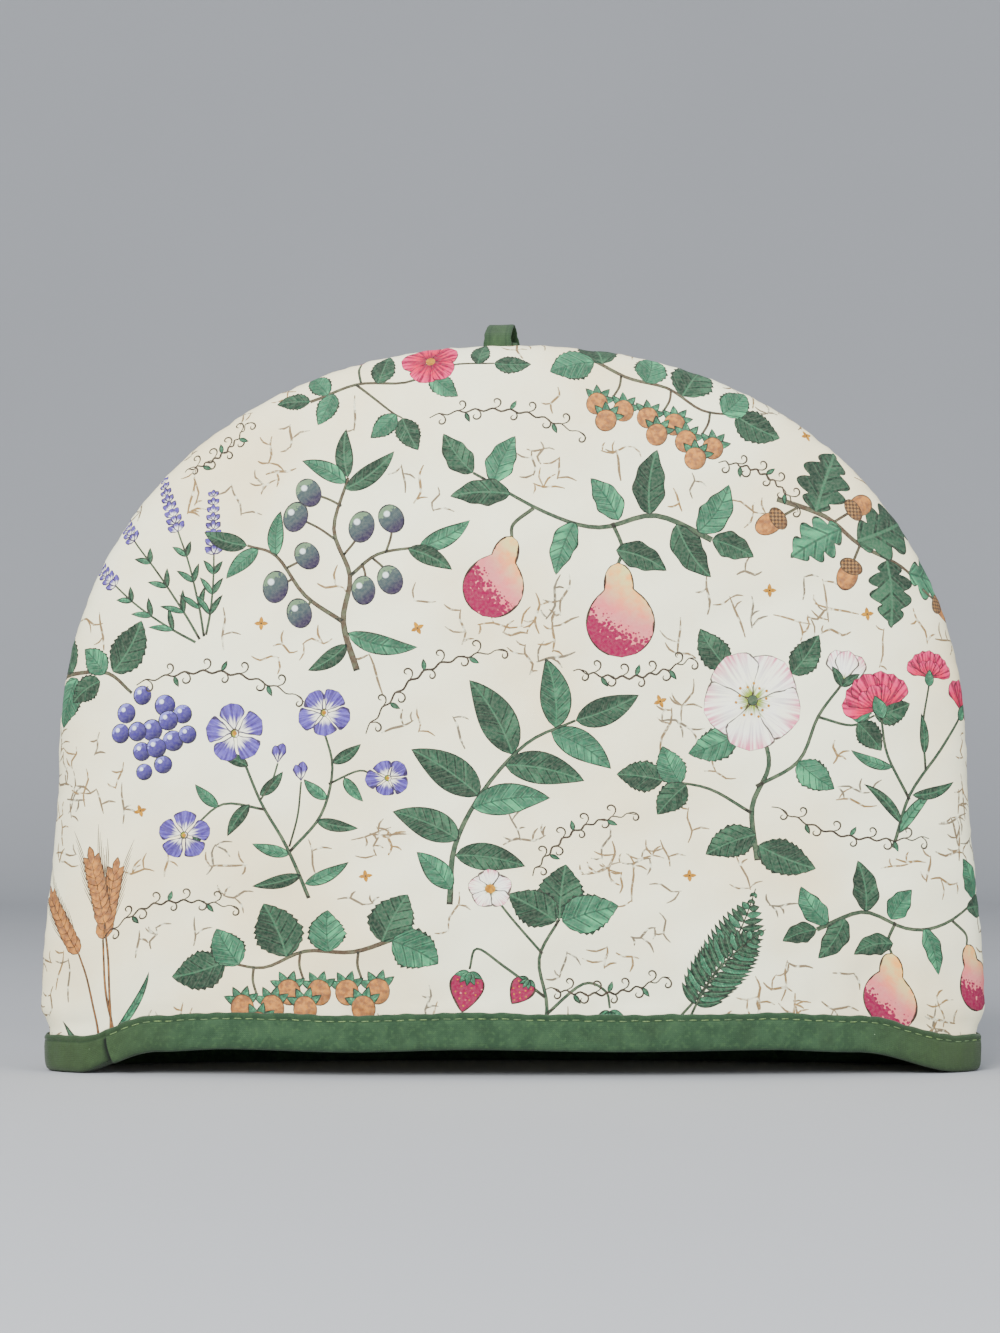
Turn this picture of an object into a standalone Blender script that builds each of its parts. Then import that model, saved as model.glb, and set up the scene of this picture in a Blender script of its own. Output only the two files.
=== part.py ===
"""A padded tea cosy: two D-shaped panels sewn together along their sides and arch, a bias-tape
binding folded over the hem, and a hanging loop sewn in at the top of the seam.

Metres, +Z up. The cosy stands on its hem. The origin is the middle of the mouth, on the surface
that the cosy stands on, and the front panel faces -Y.
"""

import math

import bmesh
import bpy

# ------------------------------------------------------------------ driving sizes, in metres

# The outline of a panel: straight sides that flare a little, under an arch
ARCH_HALF_WIDTH = 0.1642
ARCH_HEIGHT = 0.1516  # from the springing line to the top
ARCH_POWER = 2.17  # 2 is an ellipse, and more is squarer
SPRING_Z = 0.1114  # height of the springing line
SIDE_FLARE = 0.0058  # each side stands out by this much more, low down
FLARE_DROP = 0.087  # reached this far below the springing line
HEM_PINCH = 0.0030  # the binding draws each side in by this much
PINCH_TOP_Z = 0.0230  # from this height
PINCH_Z = 0.0135  # fully drawn in at this height
TOP_Z = SPRING_Z + ARCH_HEIGHT

# How deep the cosy is
HEM_DEPTH = 0.0418  # from the seam to the outside of a panel, at the hem
SWELL = 0.0016  # the padding swells this much above the binding
TAPER = 0.36  # share of the depth lost between the hem and the top
TAPER_POWER = 1.6
BACK_LEAN = 0.0055  # the top of the seam leans back by this much
SPINE_TOP_Z = 0.165  # the panel is at its fullest on its middle line, up to this height
SHOULDER = math.radians(8.0)  # the padding is widest this far round from the seam

# The padded cloth
PAD = 0.0078
PAD_AT_HEM = 0.0050
SEAM_GAP = 0.0003
HEM_EDGE_Z = 0.0038  # the cut edge stands this high inside the folded tape

# The binding: tape folded in a U, with its ends lapped on the front, near the left corner
TAPE = 0.0012
TAPE_HEIGHT = 0.0125
TAPE_SLACK = 0.0007  # between the tape and the panel on each side
TAPE_STEP = math.radians(4.0)
LAP_STEPS = 2  # how many steps the upper end runs past the lower one
LAP_RAMP_STEPS = 2  # the tape climbs over, or dips under, in this many steps
LAP_END = math.radians(328.0)  # where the upper end stops, round the mouth from the left corner
LAP_LIFT = TAPE + 0.0003

# The folded tape from its outer top edge, under the hem, to its inner top edge
# columns: inside leg, height of the middle of the tape, how far it tucks in under the hem
TAPE_SECTION = (
    (False, TAPE_HEIGHT, 0.0),
    (False, 0.0070, 0.0),
    (False, 0.0020, 0.0001),
    (False, TAPE / 2, 0.0014),
    (True, TAPE / 2, 0.0014),
    (True, 0.0020, 0.0001),
    (True, 0.0070, 0.0),
    (True, TAPE_HEIGHT, 0.0),
)

# The hanging loop
LOOP_X = -0.0042
LOOP_WIDTH = 0.0105
LOOP_THICKNESS = 0.0012
LOOP_LENGTH = 0.0140  # from the seam to the bend, along the loop
LOOP_SWELL = 0.0055  # sets how far its two layers bow apart
LOOP_FLOP = math.radians(80.0)  # it flops back by this angle
LOOP_FLOP_RUN = 0.0060  # over this much of its length, and then lies straight
LOOP_TWIST = math.radians(-4.0)
LOOP_SEAT = 0.0009  # above the bottom of the groove along the seam

# How many steps each mesh has
SIDE_STEPS = 10
ARCH_STEPS = 40
INWARD_STEPS = 12
LOOP_STEPS = 26

# The front hem rides up over the middle, and dips to the surface at both corners
# columns: x across the front, lift of the hem there
FRONT_HEM_LIFT = (
    (-0.155, 0.0000),
    (-0.126, 0.0082),
    (-0.100, 0.0094),
    (-0.060, 0.0086),
    (-0.015, 0.0096),
    (0.040, 0.0088),
    (0.090, 0.0092),
    (0.122, 0.0080),
    (0.160, 0.0000),
)
LIFT_FROM_Z = 0.014  # all of the lift up to here, and less above
LIFT_TO_Z = 0.120

# Soft hollows (and swells, where the depth is negative) in the padding
# columns: panel, x, z, half-width, half-height, depth
HOLLOWS = (
    ("front", -0.086, 0.034, 0.016, 0.030, 0.0022),
    ("front", 0.034, 0.142, 0.014, 0.036, 0.0012),
    ("front", -0.040, 0.205, 0.050, 0.020, 0.0010),
    ("front", 0.098, 0.060, 0.030, 0.028, -0.0016),
    ("front", -0.020, 0.060, 0.040, 0.034, -0.0012),
    ("back", 0.060, 0.040, 0.018, 0.034, 0.0020),
    ("back", -0.050, 0.150, 0.020, 0.050, 0.0014),
    ("back", 0.020, 0.200, 0.046, 0.022, 0.0010),
    ("back", -0.100, 0.055, 0.030, 0.030, -0.0015),
)

# Each material's colour and roughness
MATERIALS = {
    "printed_cotton": ((0.86, 0.83, 0.72, 1.0), 0.88),
    "green_tape": ((0.09, 0.23, 0.10, 1.0), 0.85),
}


# ------------------------------------------------------------------ shared helpers


def smooth(share):
    """0 below 0, 1 above 1, and a smooth step between."""
    share = min(max(share, 0.0), 1.0)
    return share * share * (3.0 - 2.0 * share)


def mix(first, second, share):
    return first + (second - first) * share


def read_table(rows, place):
    """The value at a place in a table of (place, value) rows, eased from row to row."""
    if place <= rows[0][0]:
        return rows[0][1]
    for (low, low_value), (high, high_value) in zip(rows, rows[1:]):
        if place <= high:
            return mix(low_value, high_value, smooth((place - low) / (high - low)))
    return rows[-1][1]


def cloth_material(name):
    colour, roughness = MATERIALS[name]
    material = bpy.data.materials.get(name)
    if material is None:
        material = bpy.data.materials.new(name)
        material.use_nodes = True
        shader = material.node_tree.nodes["Principled BSDF"]
        shader.inputs["Base Color"].default_value = colour
        shader.inputs["Roughness"].default_value = roughness
        shader.inputs["Metallic"].default_value = 0.0
    return material


def grid_of_steps(across_steps, down_steps):
    """A flat grid whose corners are at (0, 0) and (1, 1), to be moved by a formula."""
    bm = bmesh.new()
    bmesh.ops.create_grid(bm, x_segments=across_steps, y_segments=down_steps, size=0.5)
    for vertex in bm.verts:
        vertex.co.x += 0.5
        vertex.co.y += 0.5
    return bm


def make_object(bm, name, material_name, collection):
    mesh = bpy.data.meshes.new(name)
    bm.to_mesh(mesh)
    bm.free()
    mesh.shade_smooth()
    mesh.set_sharp_from_angle(angle=math.radians(50.0))
    mesh.materials.append(cloth_material(material_name))
    piece = bpy.data.objects.new(name, mesh)
    collection.objects.link(piece)
    return piece


# ------------------------------------------------------------------ the form of the cosy


def side_half_width(z):
    """Half the width of a panel at a height below the springing line."""
    flare = SIDE_FLARE * smooth((SPRING_Z - z) / FLARE_DROP)
    pinch = HEM_PINCH * smooth((PINCH_TOP_Z - z) / (PINCH_TOP_Z - PINCH_Z))
    return ARCH_HALF_WIDTH + flare - pinch


def depth_at(z):
    swell = SWELL * smooth((z - PINCH_Z) / 0.030)
    return (HEM_DEPTH + swell) * (1.0 - TAPER * max(z / TOP_Z, 0.0) ** TAPER_POWER)


def pad_at(z):
    return mix(PAD_AT_HEM, PAD, smooth((z - PINCH_Z) / 0.020))


def seam_lean(z):
    return BACK_LEAN * (z / TOP_Z) ** 2


def front_lift(x, z):
    fade = 1.0 - smooth((z - LIFT_FROM_Z) / (LIFT_TO_Z - LIFT_FROM_Z))
    return read_table(FRONT_HEM_LIFT, x) * fade


def hollow_at(panel, x, z):
    """How far the padding sinks at a place on a panel: nowhere under the binding."""
    depth = 0.0
    for name, hollow_x, hollow_z, half_width, half_height, sink in HOLLOWS:
        if name == panel:
            away = ((x - hollow_x) / half_width) ** 2 + ((z - hollow_z) / half_height) ** 2
            depth += sink * math.exp(-away)
    return depth * smooth((z - PINCH_Z) / 0.030)


def shoulder_reach(angle):
    """The share of the half-width left at an angle round from the seam, with the groove there."""
    turned = (angle - SHOULDER) * (math.pi / 2) / (math.pi / 2 - SHOULDER)
    return math.cos(turned)


def seam_point(along, inset):
    """A point of the outline, as x and z, with the spine height that lies inward of it.

    along runs from -1 at the left end of the hem, over the top at 0, to 1 at the right end.
    """
    sides_share = 2.0 * SIDE_STEPS / (2.0 * SIDE_STEPS + ARCH_STEPS)
    away = abs(along)
    side = math.copysign(1.0, along)
    if away >= 1.0 - sides_share:
        up = (1.0 - away) / sides_share
        z = mix(HEM_EDGE_Z, SPRING_Z, up**1.35)
        return side * (side_half_width(z) - inset), z, z
    angle = (math.pi / 2) * (1.0 - away / (1.0 - sides_share))
    power = 2.0 / ARCH_POWER
    x = side * (ARCH_HALF_WIDTH - inset) * math.cos(angle) ** power
    z = SPRING_Z + (ARCH_HEIGHT - inset) * math.sin(angle) ** power
    return x, z, mix(SPRING_Z, SPINE_TOP_Z, angle / (math.pi / 2))


def panel_point(panel, along, inward, inside):
    """A point on the outside, or the inside, of a padded panel.

    inward runs from 0 at the seam to 1 on the panel's middle line.
    """
    outline_z = seam_point(along, 0.0)[1]
    inset = pad_at(outline_z) if inside else 0.0
    seam_x, seam_z, spine_z = seam_point(along, inset)
    angle = inward * math.pi / 2
    reach = math.cos(angle) if inside else shoulder_reach(angle)
    x = seam_x * reach
    z = mix(spine_z, seam_z, reach)
    depth = (depth_at(z) - inset) * math.sin(angle)
    depth -= hollow_at(panel, x, z) * math.sin(angle)
    outward = SEAM_GAP / 2 + depth
    if panel == "front":
        return x, seam_lean(z) - outward, z + front_lift(x, z)
    return x, seam_lean(z) + outward, z


# ------------------------------------------------------------------ the pieces


def make_panel(panel, collection):
    """One grid is wrapped from the seam to the panel's middle line, then extruded inward."""
    bm = grid_of_steps(2 * SIDE_STEPS + ARCH_STEPS, INWARD_STEPS)
    grown = bmesh.ops.extrude_face_region(bm, geom=list(bm.faces), use_keep_orig=True)
    inner = {part for part in grown["geom"] if isinstance(part, bmesh.types.BMVert)}
    inward = {vertex: vertex.co.y for vertex in bm.verts}
    for vertex in bm.verts:
        along = 2.0 * vertex.co.x - 1.0
        vertex.co = panel_point(panel, along, inward[vertex], inside=vertex in inner)
    # The two halves of the grid meet on the middle line, so they need no wall between them there
    walls = [
        face for face in bm.faces if all(inward[vertex] > 0.999 for vertex in face.verts)
    ]
    bmesh.ops.delete(bm, geom=walls, context="FACES")
    bmesh.ops.remove_doubles(bm, verts=list(bm.verts), dist=0.00002)
    bmesh.ops.recalc_face_normals(bm, faces=list(bm.faces))
    return make_object(bm, "panel_" + panel, "printed_cotton", collection)


def mouth_curve(round_mouth, inside):
    """A point of the hem's inside or outside, seen from above.

    round_mouth is 0 at the left corner, then passes the back, the right corner and the front.
    """
    back_or_front = math.copysign(1.0, math.sin(round_mouth))
    left_or_right = -math.copysign(1.0, math.cos(round_mouth))
    angle = math.asin(min(abs(math.sin(round_mouth)), 1.0))
    inset = PAD_AT_HEM if inside else 0.0
    reach = math.cos(angle) if inside else math.cos(
        max(angle - SHOULDER, 0.0) * (math.pi / 2) / (math.pi / 2 - SHOULDER)
    )
    x = left_or_right * (side_half_width(HEM_EDGE_Z) - inset) * reach
    y = back_or_front * (SEAM_GAP / 2 + (HEM_DEPTH - inset) * math.sin(angle))
    return x, y


def mouth_outward(round_mouth, inside):
    """The direction out of the mouth at a point of mouth_curve, as x and y."""
    nudge = math.radians(0.5)
    before = mouth_curve(round_mouth - nudge, inside)
    after = mouth_curve(round_mouth + nudge, inside)
    along_x = after[0] - before[0]
    along_y = after[1] - before[1]
    length = math.hypot(along_x, along_y)
    return -along_y / length, along_x / length


def tape_point(step, last_step, row):
    """A point on the middle of the tape, a number of steps along it."""
    round_mouth = LAP_END - LAP_STEPS * TAPE_STEP + step * TAPE_STEP
    climb = (step - (last_step - LAP_STEPS - LAP_RAMP_STEPS)) / LAP_RAMP_STEPS
    over = LAP_LIFT * min(max(climb, 0.0), 1.0)
    dip = (LAP_STEPS + LAP_RAMP_STEPS - step) / LAP_RAMP_STEPS
    under = LAP_LIFT * min(max(dip, 0.0), 1.0)
    inside, height, tuck = TAPE_SECTION[row]
    x, y = mouth_curve(round_mouth, inside)
    out_x, out_y = mouth_outward(round_mouth, inside)
    away = (TAPE_SLACK + TAPE / 2 - tuck + over) * (-1.0 if inside else 1.0)
    x += out_x * away
    y += out_y * away
    z = height + under * (1.0 - height / TAPE_HEIGHT)
    y += seam_lean(z)
    if math.sin(round_mouth) < 0.0:
        z += front_lift(x, z)
    return x, y, z


def make_binding(collection):
    last_step = round(2.0 * math.pi / TAPE_STEP) + LAP_STEPS
    last_row = len(TAPE_SECTION) - 1
    bm = grid_of_steps(last_step, last_row)
    for vertex in bm.verts:
        step = round(vertex.co.x * last_step)
        row = round(vertex.co.y * last_row)
        vertex.co = tape_point(step, last_step, row)
    binding = make_object(bm, "hem_binding", "green_tape", collection)
    thicken(binding, TAPE)
    return binding


def loop_point(along, across):
    """A point on the middle of the loop's strip, from one end in the seam, round, to the other."""
    rise = LOOP_LENGTH * math.sin(math.pi * along)
    bow = LOOP_SWELL * math.sin(2.0 * math.pi * along) * math.sin(math.pi * along)
    apart = (LOOP_THICKNESS + SEAM_GAP) / 2 * math.cos(math.pi * along)
    curved = min(rise, LOOP_FLOP_RUN)
    straight = rise - curved
    bend = LOOP_FLOP * curved / LOOP_FLOP_RUN
    radius = LOOP_FLOP_RUN / LOOP_FLOP
    forward = -(bow + apart)
    y = radius * (1.0 - math.cos(bend)) + straight * math.sin(bend) + forward * math.cos(bend)
    z = radius * math.sin(bend) + straight * math.cos(bend) - forward * math.sin(bend)
    x = LOOP_WIDTH * (across - 0.5)
    twist = LOOP_TWIST * rise / LOOP_LENGTH
    turned_x = x * math.cos(twist) - y * math.sin(twist)
    turned_y = x * math.sin(twist) + y * math.cos(twist)
    seat_y = seam_lean(TOP_Z)
    seat_z = panel_point("front", 0.0, 0.0, inside=False)[2] + LOOP_SEAT
    return LOOP_X + turned_x, seat_y + turned_y, seat_z + z


def make_loop(collection):
    bm = grid_of_steps(LOOP_STEPS, 2)
    for vertex in bm.verts:
        vertex.co = loop_point(vertex.co.x, vertex.co.y)
    loop = make_object(bm, "hanging_loop", "green_tape", collection)
    thicken(loop, LOOP_THICKNESS)
    return loop


def thicken(piece, thickness):
    """A sheet becomes a solid, half of its thickness to each side."""
    solidify = piece.modifiers.new("cloth thickness", "SOLIDIFY")
    solidify.thickness = thickness
    solidify.offset = 0.0
    solidify.use_even_offset = True


def clear_scene():
    for old in list(bpy.data.objects):
        bpy.data.objects.remove(old, do_unlink=True)


def main():
    clear_scene()
    collection = bpy.data.collections.new("tea_cosy")
    bpy.context.scene.collection.children.link(collection)
    for panel in ("front", "back"):
        make_panel(panel, collection)
    make_binding(collection)
    make_loop(collection)


main()
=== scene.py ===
# %% [markdown]
# # A padded tea cosy, printed with sprigs
# The real thing is two padded, D-shaped pieces of printed cotton, sewn together along their sides
# and arch. Green bias tape is folded over the open hem, and a loop of the same tape is caught in
# the seam at the top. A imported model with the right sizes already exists, so this lesson gives it
# its looks: the print, the weave, the stitches and the unevenness of sewn cloth. Every new piece
# is made in that model's frame: metres, Z up, and the front panel facing -Y.

# %% The frame
import math

import bpy
import numpy as np
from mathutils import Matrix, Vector
from mathutils.geometry import delaunay_2d_cdt


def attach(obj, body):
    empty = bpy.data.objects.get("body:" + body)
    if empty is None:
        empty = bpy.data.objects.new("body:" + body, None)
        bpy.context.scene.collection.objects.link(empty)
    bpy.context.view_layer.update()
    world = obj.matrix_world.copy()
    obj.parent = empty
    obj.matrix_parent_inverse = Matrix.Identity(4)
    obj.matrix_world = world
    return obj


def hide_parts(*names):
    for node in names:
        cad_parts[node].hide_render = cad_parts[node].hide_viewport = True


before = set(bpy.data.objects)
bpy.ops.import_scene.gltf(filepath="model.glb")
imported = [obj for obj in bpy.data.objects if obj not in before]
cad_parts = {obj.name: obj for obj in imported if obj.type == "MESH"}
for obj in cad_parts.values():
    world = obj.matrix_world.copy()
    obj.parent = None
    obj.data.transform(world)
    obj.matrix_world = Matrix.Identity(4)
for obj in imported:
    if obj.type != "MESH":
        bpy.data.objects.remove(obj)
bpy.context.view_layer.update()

MM = 0.001
print("packed pieces:", sorted(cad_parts))


# %% Helpers for new objects
def add_object(name, data, place=(0.0, 0.0, 0.0), aim=None):
    """A new object in the scene. If it has an aim, its -Z axis points there."""
    made = bpy.data.objects.new(name, data)
    made.location = place
    if aim is not None:
        made.rotation_euler = (aim - Vector(place)).to_track_quat("-Z", "Y").to_euler()
    bpy.context.scene.collection.objects.link(made)
    return made


def new_mesh(name, points, faces):
    mesh = bpy.data.meshes.new(name)
    mesh.from_pydata(points, [], faces)
    mesh.shade_smooth()
    return mesh


# %% [markdown]
# ## The camera, the floor and the light
# The photograph looks at the front panel face on, slightly from below its middle. A long lens
# keeps the sides parallel, and the height of the view at the cosy sets its focal length.
# The floor is one sheet that curves up far behind into a backdrop, as in a studio. Three large
# soft lights are used: a main one high at the front left, a weaker one at the right, and one
# above that rims the arch.

# %% The camera
VIEW_HEIGHT = 0.4852
VIEW_MIDDLE = Vector((-0.0047, 0.0, 0.1456))
CAMERA_PLACE = Vector((-0.0047, -1.22, 0.100))
SENSOR_HEIGHT = 36.0

camera_data = bpy.data.cameras.new("camera")
camera_data.sensor_fit = "VERTICAL"
camera_data.sensor_height = SENSOR_HEIGHT
camera_data.lens = SENSOR_HEIGHT * (VIEW_MIDDLE - CAMERA_PLACE).length / VIEW_HEIGHT
camera_data.clip_start = 0.01
bpy.context.scene.camera = add_object("camera", camera_data, CAMERA_PLACE, VIEW_MIDDLE)
print("lens in mm:", round(camera_data.lens, 1))


# %% The floor and backdrop
FLOOR_Z = -0.0002
FLOOR_HALF_WIDTH = 6.0
FLOOR_FRONT_Y = -5.0
BACKDROP_Y = 1.75
BACKDROP_BEND = 0.60
BACKDROP_TOP_Z = 3.2


def make_backdrop():
    """One sheet: the floor, a quarter-round bend and the wall behind."""
    bend = [math.radians(step) for step in range(0, 91, 6)]
    outline = [(FLOOR_FRONT_Y, FLOOR_Z)]
    for turn in bend:
        outline.append((BACKDROP_Y + BACKDROP_BEND * math.sin(turn),
                        FLOOR_Z + BACKDROP_BEND * (1.0 - math.cos(turn))))
    outline.append((BACKDROP_Y + BACKDROP_BEND, BACKDROP_TOP_Z))
    corners = [(x, y, z) for y, z in outline for x in (-FLOOR_HALF_WIDTH, FLOOR_HALF_WIDTH)]
    quads = [(2 * i, 2 * i + 1, 2 * i + 3, 2 * i + 2) for i in range(len(outline) - 1)]
    backdrop = add_object("backdrop", new_mesh("backdrop", corners, quads))
    return backdrop


backdrop = make_backdrop()
print("backdrop faces:", len(backdrop.data.polygons))

# %% The lights
# columns: name, place, width and height of the lamp, power in watts, colour
LIGHTS = (
    ("main light", (-0.80, -1.90, 1.25), (1.3, 1.1), 116.0, (1.0, 0.99, 0.975)),
    ("fill light", (1.6, -1.5, 0.75), (1.2, 1.2), 34.0, (0.94, 0.965, 1.0)),
    ("top light", (0.0, -0.15, 1.7), (1.4, 0.9), 9.0, (0.95, 0.97, 1.0)),
)
LIGHT_AIM = Vector((0.0, 0.0, 0.12))

for name, place, (width, height), power, colour in LIGHTS:
    lamp = bpy.data.lights.new(name, "AREA")
    lamp.shape = "RECTANGLE"
    lamp.size = width
    lamp.size_y = height
    lamp.energy = power
    lamp.color = colour
    add_object(name, lamp, place, LIGHT_AIM)

world = bpy.data.worlds.new("studio")
world.use_nodes = True
world.node_tree.nodes["Background"].inputs["Color"].default_value = (0.80, 0.84, 0.90, 1.0)
world.node_tree.nodes["Background"].inputs["Strength"].default_value = 0.75
bpy.context.scene.world = world
print("lights:", [row[0] for row in LIGHTS])

# %% [markdown]
# ## The form of a panel, flat and sewn up
# A panel is cut flat, printed, padded, and then sewn to the other one, which pulls it into a
# shallow dish. The print has to be drawn on the flat cloth, so two things are needed: the shape
# of the flat piece, and a rule that says where each point of it ends up on the finished cosy.
# The rule follows straight rays on the pattern, from the panel's middle line out to its seam.
# Along each ray the finished cloth is a quarter of a rounded curve, and a point keeps its
# distance along the cloth.

# %% Sizes of the finished cosy, in metres
ARCH_HALF_WIDTH = 0.1642
ARCH_HEIGHT = 0.1516
ARCH_POWER = 2.17
SPRING_Z = 0.1114
SIDE_FLARE = 0.0058
FLARE_DROP = 0.087
HEM_PINCH = 0.0030
PINCH_TOP_Z = 0.0230
PINCH_Z = 0.0135
TOP_Z = SPRING_Z + ARCH_HEIGHT
HEM_DEPTH = 0.0418
SWELL = 0.0016
TAPER = 0.36
TAPER_POWER = 1.6
BACK_LEAN = 0.0055
SPINE_TOP_Z = 0.165
SHOULDER = math.radians(8.0)
PAD = 0.0078
PAD_AT_HEM = 0.0050
SEAM_GAP = 0.0003
HEM_EDGE_Z = 0.0038
TAPE_HEIGHT = 0.0125
LIFT_FROM_Z = 0.014
LIFT_TO_Z = 0.120

# columns: x across the front, lift of the hem there
FRONT_HEM_LIFT = (
    (-0.155, 0.0), (-0.126, 0.0082), (-0.100, 0.0094), (-0.060, 0.0086), (-0.015, 0.0096),
    (0.040, 0.0088), (0.090, 0.0092), (0.122, 0.0080), (0.160, 0.0),
)

# Soft hollows, and swells where the depth is negative
# columns: x, z, half-width, half-height, depth
HOLLOWS = {
    "front": (
        (-0.086, 0.034, 0.016, 0.030, 0.0022), (0.034, 0.142, 0.014, 0.036, 0.0012),
        (-0.040, 0.205, 0.050, 0.020, 0.0010), (0.098, 0.060, 0.030, 0.028, -0.0016),
        (-0.020, 0.060, 0.040, 0.034, -0.0012),
    ),
    "back": (
        (0.060, 0.040, 0.018, 0.034, 0.0020), (-0.050, 0.150, 0.020, 0.050, 0.0014),
        (0.020, 0.200, 0.046, 0.022, 0.0010), (-0.100, 0.055, 0.030, 0.030, -0.0015),
    ),
}


# %% The rules of the form, for whole arrays of points
def smooth(share):
    share = np.clip(share, 0.0, 1.0)
    return share * share * (3.0 - 2.0 * share)


def mix(first, second, share):
    return first + (second - first) * share


def unit(rows):
    """The same directions, with length 1."""
    return rows / np.linalg.norm(rows, axis=-1, keepdims=True)


def read_table(rows, place):
    """The value at each place in a table of (place, value) rows, eased from row to row."""
    rows = np.array(rows)
    low = np.clip(np.searchsorted(rows[:, 0], place) - 1, 0, len(rows) - 2)
    share = smooth((place - rows[low, 0]) / (rows[low + 1, 0] - rows[low, 0]))
    return mix(rows[low, 1], rows[low + 1, 1], share)


def side_half_width(z):
    flare = SIDE_FLARE * smooth((SPRING_Z - z) / FLARE_DROP)
    pinch = HEM_PINCH * smooth((PINCH_TOP_Z - z) / (PINCH_TOP_Z - PINCH_Z))
    return ARCH_HALF_WIDTH + flare - pinch


def depth_at(z):
    swell = SWELL * smooth((z - PINCH_Z) / 0.030)
    return (HEM_DEPTH + swell) * (1.0 - TAPER * np.maximum(z / TOP_Z, 0.0) ** TAPER_POWER)


def pad_at(z):
    return mix(PAD_AT_HEM, PAD, smooth((z - PINCH_Z) / 0.020))


def seam_lean(z):
    return BACK_LEAN * (z / TOP_Z) ** 2


def front_lift(x, z):
    fade = 1.0 - smooth((z - LIFT_FROM_Z) / (LIFT_TO_Z - LIFT_FROM_Z))
    return read_table(FRONT_HEM_LIFT, x) * fade


def hollow_at(panel, x, z):
    depth = np.zeros_like(x)
    for hollow_x, hollow_z, half_width, half_height, sink in HOLLOWS[panel]:
        away = ((x - hollow_x) / half_width) ** 2 + ((z - hollow_z) / half_height) ** 2
        depth += sink * np.exp(-away)
    return depth * smooth((z - PINCH_Z) / 0.030)


SHOULDER_RATE = (math.pi / 2) / (math.pi / 2 - SHOULDER)


def shoulder_reach(angle):
    return np.cos((angle - SHOULDER) * SHOULDER_RATE)


# %% The rays of the flat pattern
def arch_ray(turn, inset):
    """Where a ray of the arch meets the seam, and how high on the middle line it starts."""
    power = 2.0 / ARCH_POWER
    seam_x = (ARCH_HALF_WIDTH - inset) * np.maximum(np.cos(turn), 0.0) ** power
    seam_z = SPRING_Z + (ARCH_HEIGHT - inset) * np.sin(turn) ** power
    return seam_x, seam_z, mix(SPRING_Z, SPINE_TOP_Z, turn / (math.pi / 2))


def ray_through(x, z, inside):
    """The ray through each point: its seam point, its start height and its turn up the arch."""
    away = np.abs(x)
    low = np.zeros_like(x)
    high = np.full_like(x, math.pi / 2)
    inset = PAD if inside else 0.0
    for _ in range(30):
        turn = (low + high) / 2
        seam_x, seam_z, spine_z = arch_ray(turn, inset)
        point_is_above = seam_x * (z - spine_z) > (seam_z - spine_z) * away
        low = np.where(point_is_above, turn, low)
        high = np.where(point_is_above, high, turn)
    turn = (low + high) / 2
    seam_x, seam_z, spine_z = arch_ray(turn, inset)
    straight = z <= SPRING_Z
    side_inset = pad_at(z) if inside else 0.0
    seam_x = np.where(straight, side_half_width(z) - side_inset, seam_x)
    seam_z = np.where(straight, z, seam_z)
    spine_z = np.where(straight, z, spine_z)
    return seam_x, seam_z, spine_z, np.where(straight, 0.0, turn)


PROFILE_ANGLES = np.linspace(math.pi / 2, 0.0, 49)


def profile_lengths(seam_x, seam_z, spine_z):
    """Cloth length from the middle line to each of PROFILE_ANGLES, along each ray."""
    reach = shoulder_reach(PROFILE_ANGLES)[None, :]
    run = np.hypot(seam_x, seam_z - spine_z)[:, None] * reach
    z = spine_z[:, None] + (seam_z - spine_z)[:, None] * reach
    depth = depth_at(z) * np.sin(PROFILE_ANGLES)
    steps = np.hypot(np.diff(run), np.diff(depth))
    return np.hstack([np.zeros((len(run), 1)), np.cumsum(steps, axis=1)])


def angle_along(lengths, far):
    """The profile angle at a cloth length from the middle line, on each ray."""
    row = np.arange(len(far))
    below = np.clip((lengths <= far[:, None]).sum(axis=1) - 1, 0, len(PROFILE_ANGLES) - 2)
    start = lengths[row, below]
    share = (far - start) / (lengths[row, below + 1] - start)
    return mix(PROFILE_ANGLES[below], PROFILE_ANGLES[below + 1], share)


# %% [markdown]
# ## Soft cloth isn't smooth
# A sewn seam takes up a little cloth, so short puckers run in from it and fade, and the binding
# does the same along the hem. Between them the padding lies in shallow waves, with a few longer
# creases where the cosy has been folded away. All of it is added along the outward direction of
# the form, as sums of waves with uneven lengths, which look random and are the same each run.

# %% Puckers, waves and creases
SEAM_PUCKER = 0.00034
HEM_PUCKER = 0.00042
SOFT_WAVE = 0.00042
SEAM_GROOVE = 0.00055
TAPE_TOP_Z = TAPE_HEIGHT + 0.0006

# columns: start x, start z, end x, end z, half-width, depth
CREASES = {
    "front": (
        (-0.150, 0.060, -0.118, 0.118, 0.0045, 0.00065),
        (-0.118, 0.118, -0.104, 0.160, 0.0060, 0.00040),
        (0.058, 0.150, 0.118, 0.182, 0.0070, 0.00050),
        (-0.092, 0.022, -0.082, 0.058, 0.0050, 0.00060),
        (0.120, 0.020, 0.142, 0.052, 0.0050, 0.00050),
        (-0.020, 0.018, -0.026, 0.034, 0.0040, 0.00040),
    ),
    "back": (
        (-0.120, 0.030, -0.096, 0.070, 0.0050, 0.00060),
        (0.040, 0.120, 0.110, 0.150, 0.0070, 0.00060),
        (0.100, 0.020, 0.084, 0.054, 0.0050, 0.00055),
    ),
}


def ripple(place, wave_lengths, seed):
    """A smooth uneven wave along a line, mostly between -1 and 1."""
    luck = np.random.default_rng(seed)
    total = np.zeros_like(place)
    for length in wave_lengths:
        total += np.sin(2.0 * math.pi * place / length + luck.uniform(0.0, 2.0 * math.pi))
    return total / math.sqrt(len(wave_lengths))


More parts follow.
